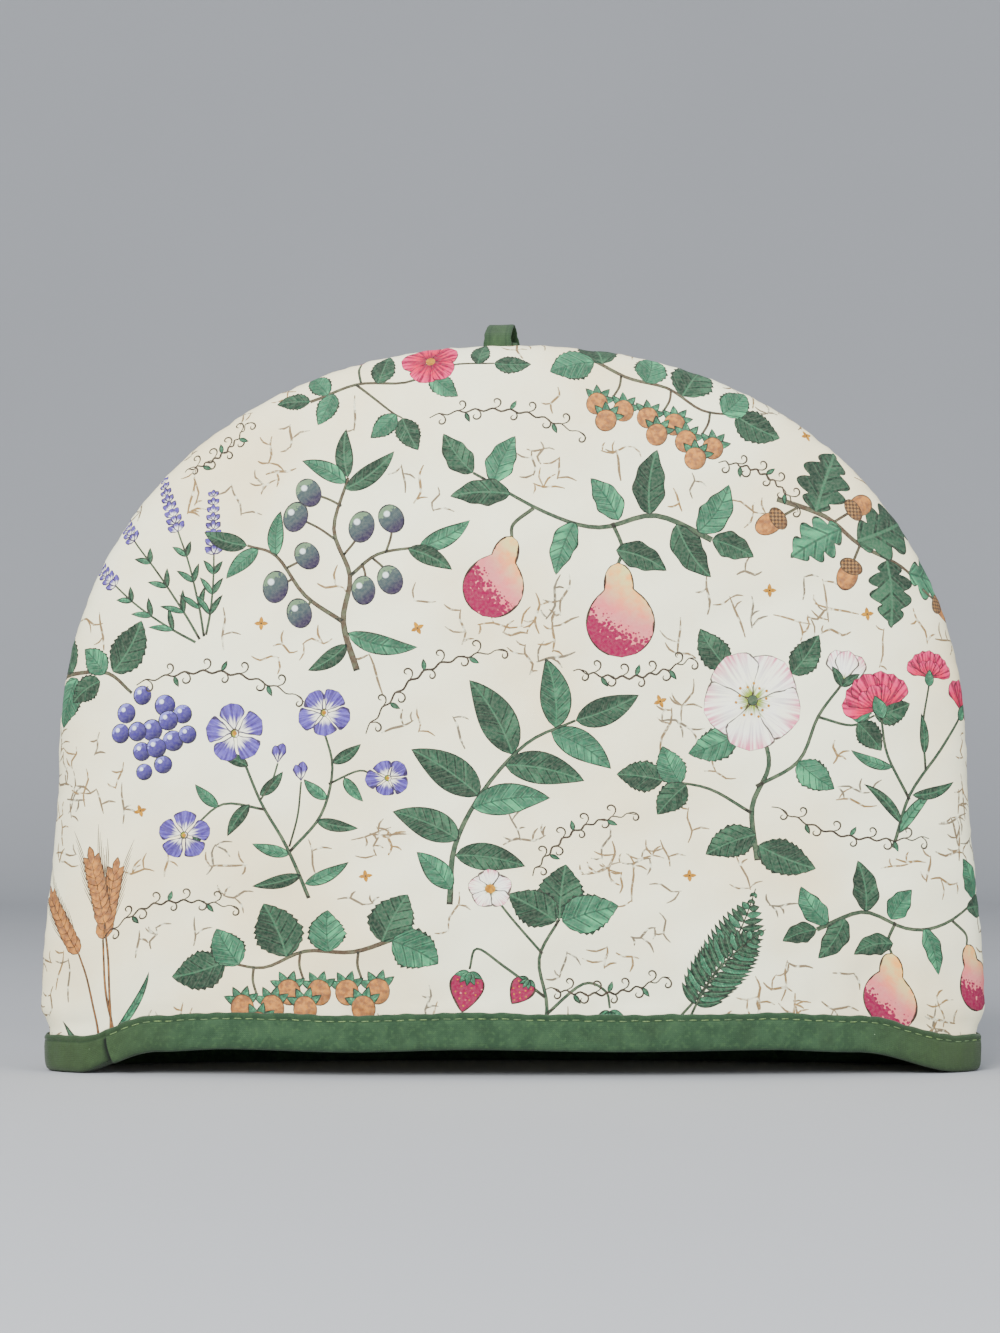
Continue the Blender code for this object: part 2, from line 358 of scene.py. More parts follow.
def soft_waves(x, z, wave_lengths, seed):
    """The same in two directions."""
    luck = np.random.default_rng(seed)
    total = np.zeros_like(x)
    for length in wave_lengths:
        heading, phase = luck.uniform(0.0, 2.0 * math.pi, 2)
        along = x * math.cos(heading) + z * math.sin(heading)
        total += np.sin(2.0 * math.pi * along / length + phase)
    return total / math.sqrt(len(wave_lengths))


def away_from_line(x, z, start_x, start_z, end_x, end_z):
    """Metres to the side of a line, and the share of its length that has been passed."""
    length = math.hypot(end_x - start_x, end_z - start_z)
    along_x, along_z = (end_x - start_x) / length, (end_z - start_z) / length
    along = (x - start_x) * along_x + (z - start_z) * along_z
    across = (z - start_z) * along_x - (x - start_x) * along_z
    return across, along / length


def relief(panel, x, z, around, edge):
    """How far the cloth stands out from its plain form at points of a panel."""
    seed = 3 if panel == "front" else 43
    puckers = ripple(around, (0.0068, 0.0091, 0.0127, 0.0183, 0.031), seed)
    puckers *= SEAM_PUCKER * smooth(edge / 0.0025) * np.exp(-np.maximum(edge, 0.0) / 0.0085)
    above = np.maximum(z - TAPE_TOP_Z, 0.0)
    gathers = ripple(x, (0.0083, 0.0132, 0.019, 0.028), seed + 1)
    gathers *= HEM_PUCKER * np.exp(-above / 0.011)
    waves = SOFT_WAVE * soft_waves(x, z, (0.021, 0.029, 0.038, 0.052, 0.070), seed + 2)
    height = puckers + gathers + waves * smooth(edge / 0.022)
    for *line, half_width, depth in CREASES[panel]:
        across, along = away_from_line(x, z, *line)
        trough = depth * np.exp(-((across / half_width) ** 2))
        height -= trough * smooth(along / 0.4 + 0.5) * smooth((1.0 - along) / 0.4 + 0.5)
    height *= smooth((z - TAPE_TOP_Z) / 0.005)
    return height - SEAM_GROOVE * np.exp(-((edge / 0.0013) ** 2)) * smooth(above / 0.003)


# %% From the flat pattern to the finished outside
ARCH_AROUND = 0.158


def outside_of_panel(panel, flat_x, flat_z):
    """Where points of the flat pattern lie on the outside, and how far each is from the seam."""
    seam_x, seam_z, spine_z, turn = ray_through(flat_x, flat_z, inside=False)
    lengths = profile_lengths(seam_x, seam_z, spine_z)
    far = np.hypot(flat_x, flat_z - spine_z)
    angle = angle_along(lengths, far)
    edge = lengths[:, -1] - far
    side = np.where(flat_x < 0.0, -1.0, 1.0)
    facing = 1.0 if panel == "front" else -1.0
    reach = shoulder_reach(angle)
    x = side * seam_x * reach
    z = mix(spine_z, seam_z, reach)
    depth = (depth_at(z) - hollow_at(panel, facing * x, z)) * np.sin(angle)
    # The outward direction: square to the profile, in the plane of the ray
    run = np.hypot(seam_x, seam_z - spine_z)
    slide = -run * np.sin((angle - SHOULDER) * SHOULDER_RATE) * SHOULDER_RATE
    rise = depth_at(z) * np.cos(angle)
    size = np.hypot(slide, rise)
    outward_in_plane, outward_in_depth = rise / size, -slide / size
    around = np.where(turn > 0.0, (math.pi / 2 - turn) * ARCH_AROUND,
                      math.pi / 2 * ARCH_AROUND + SPRING_Z - flat_z)
    stand = relief(panel, facing * x, z, side * around, edge)
    x += side * seam_x / run * outward_in_plane * stand
    z += (seam_z - spine_z) / run * outward_in_plane * stand
    depth += SEAM_GAP / 2 + outward_in_depth * stand
    x *= facing
    y = seam_lean(z) - facing * depth
    if panel == "front":
        z = z + front_lift(x, z)
    return np.stack([x, y, z], axis=1), edge


def outside_normals(panel, flat_x, flat_z, step=0.0002):
    """The outward normal at points of the flat pattern, from four points close by."""
    right = outside_of_panel(panel, flat_x + step, flat_z)[0]
    left = outside_of_panel(panel, flat_x - step, flat_z)[0]
    over = outside_of_panel(panel, flat_x, flat_z + step)[0]
    under = outside_of_panel(panel, flat_x, flat_z - step)[0]
    return unit(np.cross(right - left, over - under))


def inside_of_panel(panel, x, z):
    """The inner face of the padding, over its own outline seen face on."""
    seam_x, seam_z, spine_z, _ = ray_through(x, z, inside=True)
    facing = 1.0 if panel == "front" else -1.0
    reach = np.clip(np.hypot(x, z - spine_z) / np.hypot(seam_x, seam_z - spine_z), 0.0, 1.0)
    inset = pad_at(z)
    angle = np.arccos(reach)
    depth = depth_at(z) - inset - hollow_at(panel, facing * x, z)
    depth += 0.0005 * soft_waves(x, z, (0.026, 0.037, 0.055), 7) * smooth((z - 0.02) / 0.02)
    depth = SEAM_GAP / 2 + depth * np.sin(angle)
    placed_x = facing * x
    y = seam_lean(z) - facing * depth
    if panel == "front":
        z = z + front_lift(placed_x, z)
    return np.stack([placed_x, y, z], axis=1)


# %% The outline of the flat piece
OUTLINE_STEP = 0.0016


def flat_seam_points(seam_x, seam_z, spine_z):
    """Where rays of the right side meet the seam on the flat pattern."""
    length = profile_lengths(seam_x, seam_z, spine_z)[:, -1]
    run = np.hypot(seam_x, seam_z - spine_z)
    return np.stack([seam_x / run * length, spine_z + (seam_z - spine_z) / run * length], axis=1)


def flat_outline():
    """The cut edge, the right way round: along the hem, up the right side and over the arch."""
    side_z = np.linspace(HEM_EDGE_Z, SPRING_Z, round((SPRING_Z - HEM_EDGE_Z) / OUTLINE_STEP))
    side = flat_seam_points(side_half_width(side_z), side_z, side_z)
    turns = np.linspace(0.0, math.pi / 2, round(0.25 / OUTLINE_STEP))[1:]
    arch = flat_seam_points(*arch_ray(turns, 0.0))
    right = np.vstack([side, arch])
    left = right[-2::-1] * (-1.0, 1.0)
    corner = right[0, 0]
    hem_x = np.linspace(-corner, corner, round(2.0 * corner / OUTLINE_STEP))[1:-1]
    hem = np.stack([hem_x, np.full_like(hem_x, HEM_EDGE_Z)], axis=1)
    return np.vstack([hem, right, left])


OUTLINE = flat_outline()
print("flat piece:", np.round(np.ptp(OUTLINE, axis=0) / MM, 1), "mm,", len(OUTLINE), "edge points")

# %% [markdown]
# ## The print: strokes of ink
# Cloth like this is printed from a painting: leaves, stems and fruits laid down as brush strokes
# over a cream ground. Here every stroke is a real shape on the flat pattern. It has an axis and
# a width along it, so its shader can be told how far along, how far across and how near the
# margin each point is, which veins, streaks, dots and outlines need. The strokes are cut into
# the panel's own mesh further down, so the print bends with the cloth.

# %% A sprig, and the two kinds of stroke
class Sprig:
    """A place on the flat pattern. Motifs are drawn around it in millimetres."""

    def __init__(self, strokes, x, z, turn=0.0, size=1.0, mirrored=False, seed=0):
        self.strokes = strokes
        self.place = np.array((x, z)) * MM
        self.size = size
        self.turn = math.radians(turn)
        self.flip = -1.0 if mirrored else 1.0
        self.luck = np.random.default_rng(seed)

    def on_cloth(self, points):
        points = np.atleast_2d(np.asarray(points, float)) * (self.flip * self.size * MM,
                                                           self.size * MM)
        cos, sin = math.cos(self.turn), math.sin(self.turn)
        turned = np.stack([points[:, 0] * cos - points[:, 1] * sin,
                           points[:, 0] * sin + points[:, 1] * cos], axis=1)
        return turned + self.place


def anticlockwise(ring):
    x, z = ring[:, 0], ring[:, 1]
    return (x * np.roll(z, -1) - np.roll(x, -1) * z).sum() > 0.0


class Brush:
    """A stroke with an axis and a half-width to each side of it."""

    def __init__(self, ink, axis, left, right, tone, detail, cored):
        self.ink, self.axis, self.tone, self.detail = ink, axis, tone, detail
        self.left, self.right = left, right
        ways = unit(np.gradient(axis, axis=0))
        square = np.stack([-ways[:, 1], ways[:, 0]], axis=1)
        self.steps = np.linalg.norm(np.diff(axis, axis=0), axis=1)
        self.along = np.concatenate([[0.0], np.cumsum(self.steps)])
        pointed = [max(left[end], right[end]) < 0.02 * MM for end in (0, -1)]
        first, last = (1 if pointed[0] else 0), (-1 if pointed[1] else None)
        ring = np.vstack([axis + square * left[:, None],
                          (axis - square * right[:, None])[first:last][::-1]])
        across = np.concatenate([left, -right[first:last][::-1]])
        along = np.concatenate([self.along, self.along[first:last][::-1]])
        ring_ink = np.stack([along / detail, across / detail, np.zeros(len(along))], axis=1)
        if not anticlockwise(ring):
            ring, ring_ink = ring[::-1], ring_ink[::-1]
        self.ring, self.ring_ink = ring, ring_ink
        cored = slice(1, -1) if cored else slice(0)
        self.core = axis[cored]
        middle = (left + right) / 2
        self.core_ink = np.stack([self.along / detail, 0.0 * middle, middle / MM], axis=1)[cored]
        self.core_edges = [(i, i + 1) for i in range(len(self.core) - 1)]

    def ink_at(self, points):
        """How far along, how far across and how near the margin other points are."""
        start, way = self.axis[:-1], np.diff(self.axis, axis=0)
        rows = np.arange(len(points))
        away = points[:, None, :] - start[None, :, :]
        share = (away * way).sum(axis=2) / (self.steps**2)
        share = np.clip(share, 0.0, 1.0)
        gap = away - share[:, :, None] * way
        nearest = (gap**2).sum(axis=2).argmin(axis=1)
        share, away = share[rows, nearest], away[rows, nearest]
        way, step = way[nearest], self.steps[nearest]
        across = (way[:, 0] * away[:, 1] - way[:, 1] * away[:, 0]) / step
        along = self.along[nearest] + share * step
        half = np.where(across > 0.0, np.interp(along, self.along, self.left),
                        np.interp(along, self.along, self.right))
        margin = np.maximum(half - np.abs(across), 0.0) / MM
        return np.stack([along / self.detail, across / self.detail, margin], axis=1)


class Disc:
    """A round or oval stroke, such as a fruit. Its ink is measured from its middle."""

    def __init__(self, ink, middle, radii, turn, tone, points):
        self.ink, self.tone = ink, tone
        self.middle, self.radii, self.turn = middle, np.array(radii), turn
        angles = np.arange(points) * 2.0 * math.pi / points
        circle = np.stack([np.cos(angles), np.sin(angles)], axis=1)
        self.ring = self.turned(circle * self.radii) + middle
        self.core = np.vstack([middle, self.turned(circle[::3] * self.radii * 0.55) + middle])
        self.ring_ink = self.ink_at(self.ring)
        self.ring_ink[:, 2] = 0.0
        self.core_ink = self.ink_at(self.core)
        self.core_edges = []

    def turned(self, points, back=False):
        cos, sin = math.cos(self.turn), math.sin(-self.turn if back else self.turn)
        return np.stack([points[:, 0] * cos - points[:, 1] * sin,
                         points[:, 0] * sin + points[:, 1] * cos], axis=1)

    def ink_at(self, points):
        away = points - self.middle
        share = np.linalg.norm(self.turned(away, back=True) / self.radii, axis=1)
        margin = np.maximum(1.0 - share, 0.0) * self.radii.min() / MM
        return np.column_stack([away / self.radii.mean(), margin])


# %% Strokes by name
def curve_through(points, steps=5):
    """A smooth line through points: each stretch leans on the points before and after it."""
    points = np.asarray(points, float)
    padded = np.vstack([2 * points[0] - points[1], points, 2 * points[-1] - points[-2]])
    line = []
    for before, start, end, after in zip(padded, padded[1:], padded[2:], padded[3:]):
        for share in np.arange(steps) / steps:
            line.append(0.5 * (
                2 * start
                + (end - before) * share
                + (2 * before - 5 * start + 4 * end - after) * share**2
                + (3 * start - before - 3 * end + after) * share**3
            ))
    return np.array(line + [points[-1]])


def bowed_axis(start, heading, length, bend, steps):
    """A line that leaves start on a heading and bends evenly by bend degrees in all."""
    share = (np.arange(steps) + 0.5) / steps
    ways = np.radians(heading + bend * (share - 0.5))
    strides = np.stack([np.cos(ways), np.sin(ways)], axis=1) * length / steps
    return np.vstack([[start], np.asarray(start, float) + np.cumsum(strides, axis=0)])


def brush(sprig, ink, axis, left, right=None, tone=0.5, detail=1.0, cored=True):
    scale = sprig.size * MM
    right = left if right is None else right
    tone = float(np.clip(tone + sprig.luck.uniform(-0.07, 0.07), 0.0, 1.0))
    sprig.strokes.append(Brush(ink, sprig.on_cloth(axis), np.asarray(left) * scale,
                               np.asarray(right) * scale, tone, detail * scale, cored))


def disc(sprig, ink, middle, radius, other=None, turn=0.0, tone=0.5, points=18):
    scale = sprig.size * MM
    turn = sprig.turn + math.radians(turn) * sprig.flip
    radii = (radius * scale, (other or radius) * scale)
    sprig.strokes.append(Disc(ink, sprig.on_cloth(middle)[0], radii, turn, tone, points))


STEM_FULLNESS = 1.2


def stem(sprig, points, start_width=1.2, end_width=None, ink="stem", tone=0.4):
    axis = curve_through(points)
    end_width = start_width * 0.6 if end_width is None else end_width
    brush(sprig, ink, axis, np.linspace(start_width, end_width, len(axis)) * STEM_FULLNESS / 2,
          tone=tone)


def pen(sprig, points, width=0.5, tone=0.5, ink="pen", steps=5):
    axis = curve_through(points, steps)
    share = np.linspace(0.0, 1.0, len(axis))
    half = width / 2 * (0.35 + 0.65 * np.sin(np.pi * np.clip(share * 0.9 + 0.08, 0.0, 1.0)))
    brush(sprig, ink, axis, half, tone=tone, cored=False)


MARGINS = ("plain", "wavy", "toothed", "lobed")
LEAF_FULLNESS = 1.14


def leaf(sprig, x, y, heading, length, width, bend=0.0, tone=0.3, margin="plain", veins=6):
    steps = (13, 20, 30, 42)[MARGINS.index(margin)]
    share = np.linspace(0.0, 1.0, steps + 1)
    half = width / 2 * LEAF_FULLNESS * np.sin(np.pi * share**0.78) ** 0.86
    left = right = half
    if margin == "wavy":
        left = half * (1.0 + 0.07 * np.sin(share * 19.0 + 1.0))
        right = half * (1.0 + 0.07 * np.sin(share * 17.0 + 3.0))
    elif margin == "toothed":
        left = half * (1.08 - 0.17 * ((share * 9.0) % 1.0))
        right = half * (1.08 - 0.17 * ((share * 9.0 + 0.4) % 1.0))
    elif margin == "lobed":
        # Round lobes with narrow bays between them
        left = half * (0.46 + 0.64 * np.abs(np.sin(share * 12.6 + 0.5)) ** 0.55)
        right = half * (0.46 + 0.64 * np.abs(np.sin(share * 12.6 + 1.1)) ** 0.55)
    axis = bowed_axis((x, y), heading, length, bend, steps)
    brush(sprig, "leaf", axis, left, right, tone, length / veins)


def leaves(sprig, rows, **settings):
    """Leaves from a table: x, y, heading, length, width, bend, tone."""
    for row in rows:
        leaf(sprig, *row, **settings)


def petal(sprig, x, y, heading, length, width, ink, tone=0.2, bend=0.0, fullness=1.7):
    share = np.linspace(0.0, 1.0, 15)
    half = width / 2 * np.sin(np.pi * share**fullness) ** 0.72
    ripple_left = 1.0 + 0.07 * np.sin(share * 17.0 + heading)
    ripple_right = 1.0 + 0.07 * np.sin(share * 15.0 + heading * 1.7)
    axis = bowed_axis((x, y), heading, length, bend, 14)
    brush(sprig, ink, axis, half * ripple_left, half * ripple_right, tone, length)


def blossom(sprig, x, y, radius, ink, petals=5, turn=0.0, tone=0.2, width=0.9, tilt=1.0,
            fullness=1.7):
    """Petals all round. tilt below 1 squashes the flower, as when it looks up or away."""
    for i in range(petals):
        heading = turn + i * 360.0 / petals
        foreshortened = math.hypot(math.cos(math.radians(heading)),
                                   tilt * math.sin(math.radians(heading)))
        length = radius * foreshortened
        petal(sprig, x, y, heading, length, radius * width, ink, tone, fullness=fullness)

# %% [markdown]
# ## The motifs
# Each motif is an ordinary garden or hedgerow plant of this lesson's own drawing, 60 to 90 mm
# across. Its stems, leaves and fruits are short tables in millimetres around its middle. Strokes
# are laid in order, so what is drawn later lies on top.

# %% Pears, sloes and bilberries
def way_of(heading):
    """A step of 1 mm on a heading, in degrees from the right."""
    turn = math.radians(heading)
    return np.array((math.cos(turn), math.sin(turn)))


def pear(s, x, y, heading, length, width, tone):
    """A round belly and a neck, run together."""
    share = np.linspace(0.0, 1.0, 33)
    belly, neck = (full * np.sqrt(np.clip(1.0 - ((share - middle) / reach) ** 2, 0.0, 1.0))
                   for middle, reach, full in ((0.64, 0.36, 1.0), (0.24, 0.24, 0.44)))
    brush(s, "fruit", bowed_axis((x, y), heading, length, 0, 32),
          width / 2 * (belly**3 + neck**3) ** (1 / 3), tone=tone, detail=length)


def pear_spray(s):
    stem(s, [(-43, 12), (-24, 18), (-6, 12), (12, 15), (37, 26)], 1.7, 0.8)
    leaves(s, [
        (-43, 12, 196, 15, 8, 25, 0.25), (-38, 14, 118, 20, 9, -35, 0.75),
        (-22, 18, 92, 23, 9.5, 28, 0.25), (-12, 15, 52, 17, 8, -20, 0.70),
        (37, 26, 48, 17, 8, 20, 0.30), (30, 23, 108, 18, 8.5, 20, 0.80),
        (24, 20, -8, 20, 8, -25, 0.20), (-31, 16, 232, 21, 9, -30, 0.20),
    ], margin="wavy")
    stem(s, [(-10, 14), (-14, 6), (-13, 0)], 1.1, 0.9)
    stem(s, [(16, 16), (22, 10), (22, 5)], 1.1, 0.9)
    pear(s, -13, 1, 262, 31, 22.5, 0.35)
    pear(s, 22, 6, 284, 28, 20.0, 0.55)
    leaves(s, [(-12, 5, 196, 18, 8, 30, 0.3), (2, 13, 284, 19, 7.5, -25, 0.7)], margin="wavy")


def stalk(s, foot, x, y, start_width, end_width, tone):
    stem(s, [foot, ((x + foot[0]) / 2 + 1, (y + foot[1]) / 2), (x, y)], start_width, end_width,
         tone=tone)


def sloe_spray(s):
    stem(s, [(2, -38), (0, -20), (5, -4), (2, 14), (10, 32)], 2.0, 0.9, tone=0.75)
    stem(s, [(0, -20), (-12, -8), (-20, 8), (-30, 14)], 1.4, 0.8, tone=0.75)
    stem(s, [(5, -4), (16, 2), (31, 2)], 1.2, 0.8, tone=0.6)
    leaves(s, [
        (10, 32, 84, 19, 6, -30, 0.25), (8, 28, 28, 23, 6.5, 30, 0.30),
        (9, 30, 142, 19, 6, 25, 0.75), (-30, 14, 152, 17, 6, -25, 0.25),
        (-26, 12, 214, 16, 5.5, 20, 0.75), (31, 2, 18, 21, 6.5, 30, 0.70),
        (27, 2, -36, 18, 6, -25, 0.25), (1, -24, -22, 26, 6.5, 35, 0.80),
        (0, -28, 204, 17, 5.5, -30, 0.30), (-20, 8, 76, 17, 5.5, -30, 0.70),
    ])
    # columns: x, y, half-width, half-height, turn, and where its stalk leaves the twig
    for x, y, across, up, turn, foot in (
        (-15, -14, 4.6, 5.6, 10, (-10, -10)), (-22, -3, 4.8, 6.0, -15, (-15, -1)),
        (-9, 6, 4.4, 5.4, 25, (-17, 3)), (-11, 21, 4.6, 5.8, -25, (2, 10)),
        (12, 13, 4.8, 6.0, -20, (4, 4)), (19, -8, 4.6, 5.6, 15, (14, 1)),
        (-5, 29, 4.6, 5.6, 15, (6, 22)), (9, -10, 4.4, 5.4, -5, (10, 0)),
        (23, 14, 4.6, 5.6, 20, (19, 2)),
    ):
        stalk(s, foot, x, y, 0.8, 0.7, 0.75)
        disc(s, "berry", (x, y), across, up, turn, tone=0.85, points=22)


def bilberries(s):
    stem(s, [(-30, 20), (-14, 18), (0, 14), (8, 4)], 1.6, 1.0, tone=0.7)
    leaves(s, [
        (-28, 20, 168, 20, 12, -20, 0.30), (-16, 19, 104, 21, 12, -20, 0.25),
        (-14, 16, 236, 21, 12.5, 30, 0.80), (2, 14, 46, 23, 13, 25, 0.25),
        (-2, 14, 118, 14, 9, 25, 0.75), (-4, 12, 200, 15, 9, 30, 0.35),
    ], margin="toothed", veins=5)
    for x, y, radius in (
        (4, -3, 4.0), (20, -4, 4.2), (12, 2, 3.8), (26, -9, 3.7), (0, -10, 3.9), (7, -19, 3.8),
        (20, -18, 4.1), (14, -26, 3.7), (13, -12, 4.3), (26, -17, 3.6), (6, -27, 3.4),
        (7, -11, 3.9), (20, -10, 3.9), (13, -19, 4.0),
    ):
        disc(s, "berry", (x, y), radius, tone=0.1, points=18)
    stem(s, [(-30, 20), (-36, 14), (-34, 6), (-40, 2)], 0.8, 0.4, ink="pen")
    pen(s, [(-36, 14), (-43, 18), (-45, 13), (-41.5, 12), (-42, 15)], 0.7)


# %% Roses, periwinkles and carnations
def dog_rose(s):
    stem(s, [(6, -44), (3, -24), (8, -8), (4, 6)], 1.7, 1.2, tone=0.3)
    stem(s, [(4, -16), (18, -6), (24, 10), (32, 22)], 1.2, 0.8, tone=0.3)
    stem(s, [(3, -26), (-12, -18), (-28, -16)], 1.1, 0.7, tone=0.3)
    stem(s, [(24, 10), (36, 8), (44, 12)], 0.9, 0.6, tone=0.3)
    leaves(s, [
        (-28, -16, 176, 16, 10, 15, 0.25), (-22, -17, 118, 15, 9, -15, 0.75),
        (-20, -17, 232, 15, 9, 15, 0.30), (44, 12, 22, 14, 8.5, 15, 0.25),
        (38, 9, 88, 13, 8, 15, 0.75), (38, 9, -44, 13, 8, -15, 0.30),
        (6, -38, -20, 22, 12, 20, 0.25), (5, -34, 208, 19, 11, 20, 0.25),
        (18, -6, -34, 16, 9.5, 15, 0.80), (-4, 2, 206, 18, 10, -20, 0.80),
        (14, 24, 58, 17, 9, 15, 0.25), (-8, 24, 128, 17, 9.5, -20, 0.35),
    ], margin="toothed")
    blossom(s, 1, 14, 17.5, "white", 5, turn=54, tone=0.1, width=1.04)
    disc(s, "stem", (1, 14), 1.9, tone=0.1, points=14)
    for i in range(14):
        turn = i * 2.0 * math.pi / 14 + 0.2
        reach = 4.8 + 1.1 * (i % 2)
        disc(s, "ochre", (1 + reach * math.cos(turn), 14 + reach * math.sin(turn)), 0.55, points=6)
    for heading, tone in ((104, 0.1), (56, 0.1), (80, 0.1)):
        petal(s, 32, 22, heading, 12, 8.5, "white", tone)
    leaves(s, [(32, 21, 120, 8, 3, 20, 0.3), (32, 21, 38, 8, 3, -20, 0.3)])


def periwinkles(s):
    stem(s, [(10, -44), (4, -22), (-4, -2), (-10, 20)], 1.3, 0.8, tone=0.2)
    stem(s, [(5, -24), (18, -10), (24, 8), (22, 24)], 1.1, 0.7, tone=0.2)
    stem(s, [(-2, -6), (-18, -2), (-30, -10)], 1.0, 0.7, tone=0.2)
    stem(s, [(22, 2), (34, 6), (40, 2)], 0.8, 0.6, tone=0.2)
    leaves(s, [
        (9, -38, 24, 19, 5, 20, 0.75), (8, -34, 190, 19, 5, -20, 0.25),
        (5, -25, 158, 15, 4.6, -20, 0.70), (16, -12, -18, 16, 4.6, 20, 0.25),
        (21, -4, 132, 12, 4.2, -20, 0.75), (-8, -3, 232, 16, 4.6, 20, 0.25),
        (-20, -3, 128, 13, 4.2, -20, 0.75), (-4, 0, 42, 13, 4.2, 20, 0.30),
        (-7, 12, 152, 12, 4, 20, 0.25), (24, 10, 28, 13, 4.2, 20, 0.30),
        (28, 4, -60, 12, 4, 20, 0.75), (-26, -8, 248, 12, 4, 20, 0.30),
    ])
    for x, y, radius, turn, tilt in (
        (-11, 25, 10.5, 20, 1.0), (23, 29, 9.5, 50, 0.85), (-34, -13, 9.5, 10, 1.0),
        (44, 2, 8.0, 35, 0.8),
    ):
        blossom(s, x, y, radius * 1.08, "violet", 5, turn, 0.3, 0.86, tilt, fullness=2.1)
        disc(s, "white", (x, y), radius * 0.17, tone=0.1, points=10)
        disc(s, "ochre", (x, y), radius * 0.09, points=8)
    for x, y, heading, foot in ((4, 12, 70, (-4, -2)), (12, 4, 80, (5, -22))):
        stalk(s, foot, x, y, 0.7, 0.6, 0.2)
        petal(s, x, y, heading, 8, 4, "violet", 0.5)
        petal(s, x, y, heading + 22, 7, 3.4, "violet", 0.2)


def carnations(s):
    stem(s, [(14, -42), (8, -20), (-4, -2), (-14, 12)], 1.2, 0.9, tone=0.2)
    stem(s, [(8, -22), (18, -6), (22, 10)], 1.1, 0.8, tone=0.2)
    stem(s, [(2, -10), (4, 8), (2, 24)], 0.9, 0.7, tone=0.2)
    leaves(s, [
        (12, -36, 128, 24, 4.2, 30, 0.75), (11, -32, 42, 22, 4, -35, 0.25),
        (7, -20, 160, 20, 4, -35, 0.25), (16, -10, 18, 18, 4, 35, 0.75),
        (3, -4, 82, 16, 3.6, -25, 0.30),
    ])
    for x, y, heading, size in ((-15, 13, 128, 1.0), (22, 11, 66, 1.1), (2, 25, 92, 0.8)):
        for turn in (-62, 60, -40, 42, -20, 22, -4):
            petal(s, x, y, heading + turn, 14 * size, 8.5 * size, "pink", 0.2, fullness=2.2)
        for turn in (-30, 28, 2):
            petal(s, x, y, heading + turn, 9.5 * size, 6 * size, "pink", 0.75, fullness=2.0)
        leaf(s, *((x, y) - 3 * way_of(heading)), heading, 8.5 * size, 4.6 * size, tone=0.75)


def rosebuds(s):
    stem(s, [(-34, 2), (-16, 4), (2, 0), (20, 3), (36, 0)], 1.2, 0.6, tone=0.6)
    stem(s, [(-16, 4), (-6, -10), (-2, -14)], 0.9, 0.5, tone=0.6)
    leaves(s, [
        (-34, 2, 168, 13, 6.5, 20, 0.25), (-27, 3, 118, 14, 7.5, 15, 0.75),
        (-25, 3, 236, 14, 7.5, -15, 0.70), (-8, 2, 66, 15, 8, 15, 0.25),
        (-2, -14, 282, 14, 8, 15, 0.25), (-4, -12, 212, 13, 7, -15, 0.75),
        (12, 1, -56, 14, 7.5, 20, 0.70), (36, 0, -16, 14, 7, 15, 0.25),
        (30, 1, 62, 12, 6.5, -15, 0.30),
    ], margin="toothed")
    blossom(s, 13, 7, 11.5, "pink", 5, 18, 0.5, 0.9, 0.85)
    disc(s, "ochre", (13, 7), 1.8, points=12)
    for heading in (70, 110, 90):
        petal(s, -13, 14, heading, 8, 5.5, "pink", 0.3)
    stem(s, [(-14, 4), (-14, 10), (-13, 14)], 0.8, 0.8, tone=0.4)


# %% Broad leaves, oak, strawberries
def laurel_branch(s):
    stem(s, [(30, -44), (22, -20), (6, 0), (-14, 14), (-34, 18)], 2.0, 0.8, tone=0.35)
    leaves(s, [
        (-34, 18, 172, 26, 9.5, -15, 0.30), (-26, 17, 96, 27, 10.5, -30, 0.50),
        (-24, 16, 226, 27, 10, 30, 0.75), (-8, 11, 74, 33, 12.5, -25, 0.30),
        (-4, 8, 206, 31, 11.5, 25, 0.52), (8, -2, 50, 32, 12.5, -20, 0.25),
        (12, -6, 186, 30, 11.5, 30, 0.75), (20, -18, 40, 28, 11.5, -25, 0.50),
        (23, -24, 204, 27, 10.5, 25, 0.30), (28, -38, 66, 21, 8.5, -20, 0.75),
    ], veins=8)


def oak_spray(s):
    stem(s, [(-34, -20), (-16, -8), (2, -4), (20, 6), (34, 8)], 2.0, 1.0, tone=0.85)
    leaves(s, [
        (-20, -10, 118, 31, 19, -15, 0.25), (0, -4, 78, 36, 21, 15, 0.20),
        (24, 7, 48, 28, 17, 15, 0.75), (-8, -6, 262, 26, 16, 15, 0.70),
        (14, 2, -38, 29, 17, -15, 0.25),
    ], margin="lobed", veins=4.2)
    # columns: where the stalk leaves the twig, heading
    for x, y, heading in ((-26, -15, 262), (2, -4, 298), (33, 8, 18), (-12, -6, 84)):
        way, foot = way_of(heading), np.array((x, y))
        stem(s, [foot, foot + way * 4.0, foot + way * 9.0], 1.0, 1.0, tone=0.85)
        disc(s, "tan", foot + way * 14.5, 6.4, 4.5, heading, tone=0.3, points=22)
        disc(s, "tan", foot + way * 10.0, 3.4, 5.2, heading, tone=0.95, points=20)


